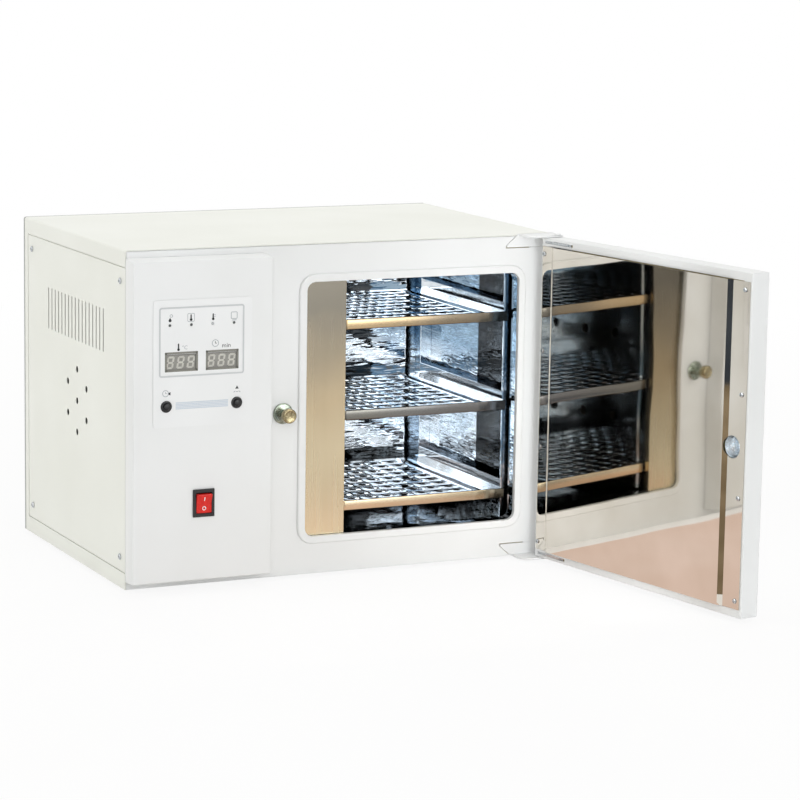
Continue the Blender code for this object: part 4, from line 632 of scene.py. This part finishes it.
latchLook = {"x": 188.5, "z": 187.5, "cupBack": -30.1, "knobX": 216.5, "knobBack": -31.6}
studPlace = spot(latchLook["x"], 0, latchLook["z"])
spunPiece("turned_latch_stud",
          [(0, -7.0), (4.0, -7.0), (4.0, 0.3), (12.0, 0.3), (12.0, 1.4), (10.6, 2.5), (4.8, 2.6), (4.8, 11.0),
           (6.4, 12.6), (0, 12.6)],
          studPlace, (0, -1, 0), "nickel", "case", ["latch_stud"], edge=0.3)
spunPiece("turned_latch_head",
          [(0, 12.5), (6.4, 12.5), (8.3, 14.6), (8.3, 20.2), (7.2, 21.4), (6.2, 21.4), (5.9, 20.9), (0, 20.9)],
          studPlace, (0, -1, 0), "brass", "case", [], edge=0.3)
spunPiece("catch_cup",
          [(0, 0.05), (13.6, 0.05), (13.6, 22.4), (12.6, 22.4), (12.6, 1.3), (8.0, 1.3), (8.0, 7.2), (7.5, 7.7),
           (0, 7.7)],
          spot(latchLook["x"], latchLook["cupBack"], latchLook["z"]), (0, 1, 0), "cup", "door",
          ["catch_socket"], turn=doorTurn())
spunPiece("door_pull_knob",
          [(0, -5.4), (6.0, -5.4), (6.0, -1.5), (3.0, -1.5), (3.0, 0.35), (10.0, 0.35), (9.0, 3.0), (8.6, 5.0),
           (10.2, 8.0), (14.2, 11.0), (15.0, 14.0), (14.6, 17.2), (12.6, 19.4), (8.0, 20.1), (0, 20.2)],
          spot(latchLook["knobX"], latchLook["knobBack"], latchLook["z"]), (0, -1, 0), "blackPlastic", "door",
          ["door_knob"], turn=doorTurn(), edge=0.6)
print("latch made")


buttonLook = {"left": 38.5, "right": 121.8, "z": 208.3, "face": -25.3}
for side in ("left", "right"):
    centre = spot(buttonLook[side], buttonLook["face"], buttonLook["z"])
    spunPiece(f"push_button_ring_{side}",
              [(4.0, -13.0), (5.2, -13.0), (5.2, 0), (6.5, 0), (6.5, 0.7), (6.1, 1.5), (4.4, 1.6), (4.0, 1.2),
               (4.0, -13.0)],
              centre, (0, -1, 0), "blackPlastic", "case", [f"button_body_{side}"], edge=0.15)
    spunPiece(f"push_button_cap_{side}",
              [(0, -5.0), (3.7, -5.0), (3.7, 3.1), (3.3, 3.7), (2.2, 3.95), (0, 4.0)],
              centre, (0, -1, 0), "blackPlastic", f"button_{side}", [f"button_cap_{side}"],
              edge=0.15)
print("buttons made")


def flatForm(kind, wide, tall, corner=0.0, line=0.0, steps=28):
    # one flat face in millimetres: a disc or a box with round corners, or a ring where a line width is given
    bm = bmesh.new()
    if kind == "disc":
        bmesh.ops.create_circle(bm, cap_ends=True, segments=steps, radius=0.5)
    else:
        bmesh.ops.create_grid(bm, x_segments=1, y_segments=1, size=0.5)
    bmesh.ops.scale(bm, vec=(wide, tall, 1), verts=bm.verts)
    if corner:
        rounded(bm, list(bm.verts), corner, 5, "VERTICES")
    if line:
        rim = set(bmesh.ops.inset_region(bm, faces=list(bm.faces), thickness=line, use_even_offset=True,
                                         use_boundary=True)["faces"])
        bmesh.ops.delete(bm, geom=[face for face in bm.faces if face not in rim], context="FACES")
    return bm


def addForm(target, form, matrix=None):
    if matrix:
        bmesh.ops.transform(form, matrix=matrix, verts=form.verts)
    mesh = bpy.data.meshes.new("form")
    form.to_mesh(mesh)
    form.free()
    target.from_mesh(mesh)
    bpy.data.meshes.remove(mesh)


def textForm(words, size):
    curve = bpy.data.curves.new("words", "FONT")
    curve.body = words
    curve.size = size
    curve.align_x = "CENTER"
    curve.align_y = "CENTER"
    holder = bpy.data.objects.new("words", curve)
    bpy.context.scene.collection.objects.link(holder)
    bpy.context.view_layer.update()
    mesh = bpy.data.meshes.new_from_object(holder.evaluated_get(bpy.context.evaluated_depsgraph_get()))
    bpy.data.objects.remove(holder, do_unlink=True)
    bm = bmesh.new()
    bm.from_mesh(mesh)
    bmesh.ops.remove_doubles(bm, verts=bm.verts, dist=0.001)
    bpy.data.meshes.remove(mesh)
    return bm


def at(x, z, turn=0.0):
    return Matrix.Translation((x, z, 0)) @ Matrix.Rotation(math.radians(turn), 4, "Z")


upright = Matrix(((1, 0, 0, 0), (0, 0, -1, 0), (0, 1, 0, 0), (0, 0, 0, 1)))  # stands a flat drawing up, face forward


def frontPlane(face):
    # from a flat drawing in millimetres (across, up) to the front of the case at a depth in Y
    return Matrix.Translation(spot(0, face, 0)) @ upright @ Matrix.Scale(mm, 4)


def raisedForm(bm, low, high):
    extruded(bm, (0, 0, high - low))
    bmesh.ops.translate(bm, vec=(0, 0, low), verts=bm.verts)


inkLook = {"sunk": -0.03, "proud": 0.05}


def printPiece(name, forms, finishName, face=-25.7):
    bm = bmesh.new()
    for form, matrix in forms:
        addForm(bm, form, matrix)
    raisedForm(bm, inkLook["sunk"], inkLook["proud"])
    bmesh.ops.transform(bm, matrix=frontPlane(face), verts=bm.verts)
    return finishPiece(name, bm, finishName, "case", smooth=False)


def dropForm(size):
    form = flatForm("disc", size, size)
    for vert in form.verts:
        if vert.co.y > 0:
            vert.co.x *= 1 - 1.6 * vert.co.y / size
            vert.co.y *= 1.7
    return form


iconLook = {"places": (42.6, 67.2, 93.2, 118.1), "z": 306.0, "lamps": (42.5, 67.7, 92.9, 118.1), "lampZ": 298.0,
            "lampFace": -25.6, "clockX": 96.0, "smallClock": (37.6, 223.0), "flameX": 122.0, "frame": (100.4, 77.4),
            "frameFace": -26.0, "border": (38.9, 22.0, 0.6, 2.4), "borderX": (56.1, 104.2), "borderZ": 257.5,
            "bands": 5, "bandPitch": 1.65}


def boxAt(x, z, wide, tall, corner=0.0, line=0.0, turn=0.0):
    return flatForm("box", wide, tall, corner, line), at(x, z, turn)


def discAt(x, z, size, line=0.0, steps=28, turn=0.0):
    return flatForm("disc", size, size, line=line, steps=steps), at(x, z, turn)


def thermometer(x, low, tall):
    return [boxAt(x, low + tall / 2, 1.6, tall, 0.75), discAt(x, low + 0.6, 3.0)]


def makeIcons():
    look = iconLook
    first, second, third, fourth = look["places"]
    z = look["z"]
    dark = [(dropForm(3.6), at(first, z - 2.4))]
    dark += thermometer(second, z - 3.0, 6.4) + thermometer(third, z - 3.4, 6.6)
    grey = [discAt(first + 1.4, z + 2.6, 3.6, 0.6), boxAt(second, z, 8.4, 9.4, 1.4, 0.6),
            boxAt(fourth, z, 7.8, 8.2, 1.5, 0.75), boxAt(fourth, z - 5.2, 5.6, 0.8),
            boxAt(third + 2.1, z + 1.6, 1.5, 0.7), boxAt(third + 2.1, z - 0.2, 1.5, 0.7)]
    # thermometer and degree sign over the left display, clock and min over the right one
    x = look["clockX"]
    dark += thermometer(52.6, 270.4, 7.4) + [(textForm("min", 7.2), at(109.0, 273.0)), boxAt(x, 277.0, 0.7, 2.4),
                                             boxAt(x + 0.7, 276.0, 2.0, 0.7)]
    grey += [discAt(x, 276.1, 8.2, 0.75), (textForm("\u00b0C", 6.0), at(60.0, 272.8))]
    # clock with an arrow over the left button, a small flame over the right one
    x, z = look["smallClock"]
    grey += [discAt(x, z, 7.6, 0.7), boxAt(x, z + 0.9, 0.6, 2.2), boxAt(x + 0.7, z, 1.9, 0.6)]
    dark += [discAt(42.2, 222.6, 4.6, steps=3, turn=90), discAt(look["flameX"], 225.0, 4.8, steps=3)]
    grey += [boxAt(look["flameX"] + dx, 220.6, 2.4, 0.8, turn=turn)
             for dx, turn in ((-3.0, 35), (0.0, 0), (3.0, -35))]
    printPiece("print_dark_marks", dark, "darkInk")
    printPiece("print_grey_marks", grey, "greyInk")
    # a grey ring laid on the embossed frame rim: painted shade of the ridge
    printPiece("painted_shade_frame_rim", [boxAt(80.0, 279.5, *look["frame"], 3.0, 1.8)], "frameRimShade", look["frameFace"])
    borders = [boxAt(x, look["borderZ"], *look["border"]) for x in look["borderX"]]
    printPiece("print_display_borders", borders, "borderInk")
    bars = [boxAt(80.4, 205.3 + look["bandPitch"] * row, 62.0, 1.25, 0.3) for row in range(look["bands"])]
    printPiece("print_pale_band", bars, "paleInk")
    for count, x in enumerate(look["lamps"], 1):
        spunPiece(f"lamp_lens_{count}", [(0, -0.1), (1.4, -0.1), (1.4, 0.25), (0.9, 0.45), (0, 0.5)],
                  spot(x, look["lampFace"], look["lampZ"]), (0, -1, 0), "paleLens" if count == 3 else "lens", "case",
                  (), edge=0.05, steps=24)


makeIcons()
print("print made")


displayLook = {"width": 37.8, "height": 19.3, "face": -24.95, "back": -17.0, "z": 256.7, "left": 55.5, "right": 103.6,
               "border": 1.5, "sunk": 0.4, "digit": 8.2, "tall": 13.8, "line": 2.1, "pitch": 12.0, "lean": 0.16}


def digitForm():
    look = displayLook
    form = bmesh.new()
    half = look["tall"] / 2
    long = look["tall"] / 2 - look["line"] * 0.9
    for z in (-half + look["line"] / 2, 0, half - look["line"] / 2):
        addForm(form, flatForm("box", look["digit"] - look["line"] * 1.2, look["line"], 0.5), at(0, z))
    for side in (-1, 1):
        for level in (-1, 1):
            x = side * (look["digit"] - look["line"]) / 2
            addForm(form, flatForm("box", look["line"], long, 0.5), at(x, level * half / 2))
    lean = Matrix(((1, look["lean"], 0, 0), (0, 1, 0, 0), (0, 0, 1, 0), (0, 0, 0, 1)))
    bmesh.ops.transform(form, matrix=lean, verts=form.verts)
    return form


def makeDisplay(name, x, replaced):
    look = displayLook
    bm = bmesh.new()
    boxForm(bm, (x - look["width"] / 2, look["face"], look["z"] - look["height"] / 2),
            (x + look["width"] / 2, look["back"], look["z"] + look["height"] / 2))
    front = min(bm.faces, key=lambda face: face.calc_center_median().y)
    for face in bm.faces:
        face.material_index = 1
    bmesh.ops.inset_region(bm, faces=[front], thickness=look["border"] * mm, use_even_offset=True)
    bmesh.ops.translate(bm, vec=(0, look["sunk"] * mm, 0), verts=front.verts)
    front.material_index = 0
    finishPiece(f"display_unit_{name}", bm, "displayFace", "case", [replaced], smooth=False,
                extra=["displayRim"])
    digits = bmesh.new()
    for place in (-1, 0, 1):
        addForm(digits, digitForm(), at(x + place * look["pitch"], look["z"]))
    raisedForm(digits, -0.1, 0.12)
    bmesh.ops.transform(digits, matrix=frontPlane(look["face"] + look["sunk"]), verts=digits.verts)
    finishPiece(f"display_digits_{name}", digits, "segment", "case", smooth=False)


makeDisplay("temperature", displayLook["left"], "display_temperature")
makeDisplay("time", displayLook["right"], "display_time")
print("displays made")


rockerLook = {"x": 83.0, "z": 97.7, "pivot": -25.8, "width": 17.9, "half": 10.9, "proud": 3.6, "valley": 1.98,
              "deep": 4.9, "tilt": 9.0, "mark": 4.6}


def makeRocker():
    # moulded cap with two pads that meet in a shallow V, and the usual marks for on and off
    look = rockerLook
    half = look["half"]
    deep = look["deep"]
    bm = bmesh.new()
    side = [(-look["proud"], -half), (-look["valley"], 0), (-look["proud"], half), (deep / 2, half * 0.96),
            (deep, half / 2), (deep, -half / 2), (deep / 2, -half * 0.96)]
    bm.faces.new([bm.verts.new((-look["width"] / 2, y, z)) for y, z in side])
    extruded(bm, (look["width"], 0, 0))
    bmesh.ops.recalc_face_normals(bm, faces=bm.faces)
    rounded(bm, sharpEdges(bm, 30), 0.7, 3)
    turn = Matrix.Rotation(math.radians(look["tilt"]), 4, "X")
    seat = Matrix.Translation(spot(look["x"], look["pivot"], look["z"])) @ turn @ Matrix.Scale(mm, 4)
    bmesh.ops.transform(bm, matrix=seat, verts=bm.verts)
    finishPiece("rocker_cap", bm, "redPlastic", "rocker", ["switch_rocker"])
    slope = math.degrees(math.atan((look["proud"] - look["valley"]) / half))
    for name, form, level in (("on", flatForm("box", 0.9, look["mark"], 0.3), 1),
                              ("off", flatForm("disc", look["mark"], look["mark"], line=0.75), -1)):
        raisedForm(form, -0.05, 0.07)
        pad = Matrix.Translation((0, -(look["proud"] + look["valley"]) / 2, level * half / 2))
        lean = Matrix.Rotation(math.radians(level * slope), 4, "X")
        bmesh.ops.transform(form, matrix=seat @ pad @ lean @ upright, verts=form.verts)
        finishPiece(f"rocker_mark_{name}", form, "whiteInk", "rocker", smooth=False)


makeRocker()
print("switch made")


bracketLook = {"earLeft": 483.5, "leafLeft": 468.3, "right": 528.3, "leafTop": 14.2, "cornerTop": 11.7,
               "slotEnd": 498.0, "thick": 2.0, "earFront": -27.8, "roundLeft": 14.0, "roundRight": 5.0, "seam": 0.27,
               "rim": 0.35}


def makeBracket(name, upper):
    # bent 2 mm plate, welded into the front panel and painted over, so that its leaf shows no seam
    look = bracketLook
    seam = look["seam"]
    half = look["thick"] / 2
    thick = look["thick"]
    leaf = [(look["earLeft"] - seam, -half), (look["leafLeft"] - seam, look["cornerTop"]),
            (look["leafLeft"], look["leafTop"]), (look["slotEnd"], look["leafTop"]),
            (look["slotEnd"] + 0.01, look["leafTop"] + seam), (look["right"], look["leafTop"] + seam),
            (look["right"], -half)]
    bm = bmesh.new()
    bm.faces.new([bm.verts.new((x, 0, z)) for x, z in leaf])
    extruded(bm, (0, thick, 0))
    ear = bmesh.new()
    outline = [(look["earLeft"], thick), (look["right"], thick), (look["right"], look["earFront"]),
               (look["earLeft"], look["earFront"])]
    corners = [ear.verts.new((x, y, -half)) for x, y in outline]
    ear.faces.new(corners)
    for corner, radius, steps in ((corners[2], look["roundRight"], 5), (corners[3], look["roundLeft"], 9)):
        rounded(ear, [corner], radius, steps, "VERTICES")
    extruded(ear, (0, 0, thick))
    bmesh.ops.recalc_face_normals(ear, faces=ear.faces)
    rims = [edge for edge in sharpEdges(ear, 50) if abs(edge.verts[0].co.z - edge.verts[1].co.z) < 0.1]
    rounded(ear, rims, look["rim"], 2)
    addForm(bm, ear)
    if upper:
        flip = Matrix.Translation((0, 0, caseSize["height"])) @ Matrix.Scale(-1, 4, (0, 0, 1))
        bmesh.ops.transform(bm, matrix=flip, verts=bm.verts)
    bmesh.ops.transform(bm, matrix=Matrix.Translation(spot(0, 0, 0)) @ Matrix.Scale(mm, 4), verts=bm.verts)
    finishPiece(f"bracket_plate_{name}", bm, "paint", "case", [f"hinge_bracket_{name}"])


makeBracket("bottom", False)
makeBracket("top", True)
print("brackets made")


fittingLook = {"glandX": 60.0, "fuseX": 110.0, "z": 70.0, "footInset": 36.0}
spunPiece("cord_gland_body",
          [(4.5, -6.5), (11.8, -6.5), (11.8, -1.6), (9.4, -1.6), (9.4, 0.35), (11.8, 0.35), (11.8, 5.2), (9.6, 6.2),
           (9.3, 10.0), (8.6, 14.0), (8.1, 17.6), (7.6, 18.0), (5.2, 18.0), (4.5, 16.4), (4.5, -6.5)],
          spot(fittingLook["glandX"], caseSize["depth"], fittingLook["z"]), (0, 1, 0), "blackPlastic", "case",
          ["cord_gland"], edge=0.3)
spunPiece("fuse_holder_body",
          [(0, -26.0), (5.9, -26.0), (5.9, 0.35), (7.4, 0.35), (7.4, 6.6), (6.4, 7.9), (0, 7.9)],
          spot(fittingLook["fuseX"], caseSize["depth"], fittingLook["z"]), (0, 1, 0), "blackPlastic", "case",
          ["fuse_holder"], edge=0.3)
inset = fittingLook["footInset"]
for side, x in (("left", inset), ("right", caseSize["width"] - inset)):
    for end, y in (("front", inset), ("rear", caseSize["depth"] - inset)):
        spunPiece(f"rubber_foot_{end}_{side}",
                  [(0, -4.0), (8.6, -4.0), (9.4, -3.7), (10.4, -2.2), (11.0, -1.2), (11.0, -0.35), (2.4, -0.35),
                   (2.4, 1.1), (0, 1.1)],
                  spot(x, y, 0), (0, 0, 1), "rubber", "case", [f"foot_{end}_{side}"], edge=0.2)
print("fittings made")


cameraPlace = {"x": -1144.5, "y": -3090.3, "z": 787.1, "yaw": 25.5755, "pitch": -9.8190, "roll": 0.9537,
               "lens": 136.605}


def makeCamera():
    look = cameraPlace
    yaw = math.radians(look["yaw"])
    pitch = math.radians(look["pitch"])
    roll = math.radians(look["roll"])
    forward = Vector((math.sin(yaw) * math.cos(pitch), math.cos(yaw) * math.cos(pitch), math.sin(pitch)))
    right = Vector((math.cos(yaw), -math.sin(yaw), 0))
    up = right.cross(forward)
    right, up = right * math.cos(roll) + up * math.sin(roll), up * math.cos(roll) - right * math.sin(roll)
    data = bpy.data.cameras.new("camera")
    data.lens = look["lens"]
    data.sensor_width = 36
    data.clip_end = 50
    camera = bpy.data.objects.new("camera", data)
    bpy.context.scene.collection.objects.link(camera)
    turn = Matrix((right, up, -forward)).transposed().to_4x4()
    camera.matrix_world = Matrix.Translation(spot(look["x"], look["y"], look["z"])) @ turn
    bpy.context.scene.camera = camera


lampLook = {
    "key": {"place": (-1.0, -2.7, 1.8), "size": 1.8, "power": 23.0, "colour": (1.0, 0.995, 0.985)},
    "front": {"place": (0.9, -3.0, 0.5), "size": 1.6, "power": 31.0, "colour": (0.955, 0.98, 1.0)},
    "side": {"place": (-2.8, 0.5, 0.9), "size": 1.6, "power": 25.5, "colour": (1.0, 1.0, 0.98)},
    "top": {"place": (0.2, 0.3, 2.6), "size": 2.0, "power": 31.5, "colour": (1.0, 1.0, 0.98)},
    "rear": {"place": (1.5, 2.6, 0.8), "size": 1.6, "power": 15.0, "colour": (1.0, 1.0, 0.98), "mirrored": False},
    "fill": {"place": (0.165, -0.34, 0.19), "size": 0.10, "tall": 0.36, "power": 0.17, "colour": (0.95, 0.975, 1.0),
             "aim": (0.205, 0.0, 0.19), "spread": 90.0, "mirrored": False},
}


def makeLamps():
    for name, look in lampLook.items():
        data = bpy.data.lights.new(name, "AREA")
        data.size = look["size"]
        data.energy = look["power"]
        data.color = look["colour"]
        lamp = bpy.data.objects.new(name, data)
        bpy.context.scene.collection.objects.link(lamp)
        lamp.location = look["place"]
        aim = Vector(look.get("aim", (0, 0, 0.2))) - lamp.location
        if "spread" in look:
            data.spread = math.radians(look["spread"])
            data.shape, data.size_y = "RECTANGLE", look["tall"]
        lamp.visible_glossy = lamp.visible_camera = look.get("mirrored", True)
        lamp.rotation_euler = aim.to_track_quat("-Z", "Y").to_euler()


def seenOrMirrored(tree):
    path = addNode(tree, "LightPath", {})
    first = addNode(tree, "Math", {0: path.outputs["Is Camera Ray"], 1: path.outputs["Is Glossy Ray"]},
                    operation="MAXIMUM")
    return addNode(tree, "Math", {0: first, 1: path.outputs["Is Transmission Ray"]}, operation="MAXIMUM")


worldLook = {"light": 0.31}


def makeWorld():
    world = bpy.data.worlds.new("studio")
    world.use_nodes = True
    bpy.context.scene.world = world
    tree = world.node_tree
    tree.nodes.clear()
    room = addNode(tree, "Background", {"Color": (1, 1, 1, 1), "Strength": worldLook["light"]})
    seen = addNode(tree, "Background", {"Color": (1, 1, 1, 1), "Strength": 1.0})
    mix = addNode(tree, "MixShader", {"Fac": seenOrMirrored(tree), 1: room, 2: seen})
    addNode(tree, "OutputWorld", {"Surface": mix})


floorLook = {"size": 30.0, "colour": "#F8F8F7", "shade": "#F2F1EF", "glow": 0.89, "near": 0.7, "far": 2.2}


def makeFloor():
    look = floorLook
    bm = bmesh.new()
    bmesh.ops.create_grid(bm, x_segments=2, y_segments=2, size=look["size"])
    floor = linkedPiece("floor", bm)
    material, tree, shader, coords = startMaterial("studioPaper", Roughness=0.9)
    _, paper = clouded(tree, coords, 3.0, 2.0, look["shade"], look["colour"])
    setInputs(tree, shader, {"Base Color": paper})
    glow = addNode(tree, "Emission", {"Color": (1, 1, 1, 1), "Strength": 1.0})
    away = addNode(tree, "VectorMath", {0: coords}, operation="LENGTH").outputs["Value"]
    level = addNode(tree, "MapRange", {"Value": away, "From Min": look["near"], "From Max": look["far"],
                                       "To Min": look["glow"], "To Max": 1.0})
    share = addNode(tree, "Math", {0: seenOrMirrored(tree), 1: level}, operation="MULTIPLY")
    mix = addNode(tree, "MixShader", {"Fac": share, 1: shader, 2: glow})
    setInputs(tree, tree.nodes["Material Output"], {"Surface": mix})
    floor.data.materials.append(material)


# boards beside the object that only mirrors see, as a studio sets them up round polished steel
cardLook = {
    "board_dark_right": {"middle": (1050.0, -720.0, 330.0), "width": 620.0, "height": 660.0,
                         "light": "#34383B", "dark": "#15181A"},
    "board_dark_left": {"middle": (-900.0, -735.0, 350.0), "width": 120.0, "height": 700.0, "turn": 90.0,
                        "light": "#565C66", "dark": "#33383F"},
    "strip_dark_low": {"middle": (-226.0, -561.0, 2.5), "width": 1450.0, "height": 80.0, "flat": True, "turn": 14.5,
                       "light": "#A08E74", "dark": "#74654F"},
    "sheet_blue_low": {"middle": (40.0, -760.0, 2.0), "width": 560.0, "height": 780.0, "flat": True,
                       "light": "#93AEC2", "dark": "#627F95"},
    "softbox_left": {"middle": (-850.0, -2300.0, 490.0), "width": 1300.0, "height": 500.0,
                     "light": "#FBFDFF", "dark": "#EEF4FA", "power": 3.0},
    "board_dark_high": {"middle": (-850.0, -2290.0, 930.0), "width": 1300.0, "height": 360.0,
                        "light": "#6A727A", "dark": "#24282C"},
    "sheet_warm_low": {"middle": (300.0, -190.0, 1.5), "width": 560.0, "height": 330.0, "flat": True,
                       "light": "#F2DCD2", "dark": "#E9CFC2"},
}


def makeCard(name, look):
    bm = bmesh.new()
    bmesh.ops.create_grid(bm, x_segments=1, y_segments=1, size=0.5)
    bmesh.ops.scale(bm, vec=(look["width"] * mm, look["height"] * mm, 1), verts=bm.verts)
    if not look.get("flat"):
        bmesh.ops.rotate(bm, cent=(0, 0, 0), matrix=Matrix.Rotation(math.pi / 2, 3, "X"), verts=bm.verts)
    turn = Matrix.Rotation(math.radians(look.get("turn", 0)), 3, "Z")
    bmesh.ops.rotate(bm, cent=(0, 0, 0), matrix=turn, verts=bm.verts)
    bmesh.ops.translate(bm, vec=spot(*look["middle"]), verts=bm.verts)
    card = linkedPiece(name, bm)
    material, tree, shader, coords = startMaterial(name)
    _, colour = clouded(tree, coords, 4.0, 2.0, look["dark"], look["light"])
    shade = addNode(tree, "Emission", {"Strength": look.get("power", 1.0), "Color": colour})
    setInputs(tree, tree.nodes["Material Output"], {"Surface": shade})
    card.data.materials.append(material)
    for ray in ("camera", "diffuse", "transmission", "volume_scatter", "shadow"):
        setattr(card, f"visible_{ray}", False)


for cardName, cardValues in cardLook.items():
    makeCard(cardName, cardValues)
makeCamera()
makeLamps()
makeWorld()
makeFloor()
bpy.context.scene.view_settings.view_transform = "Standard"
print("studio made")

bpy.context.view_layer.update()
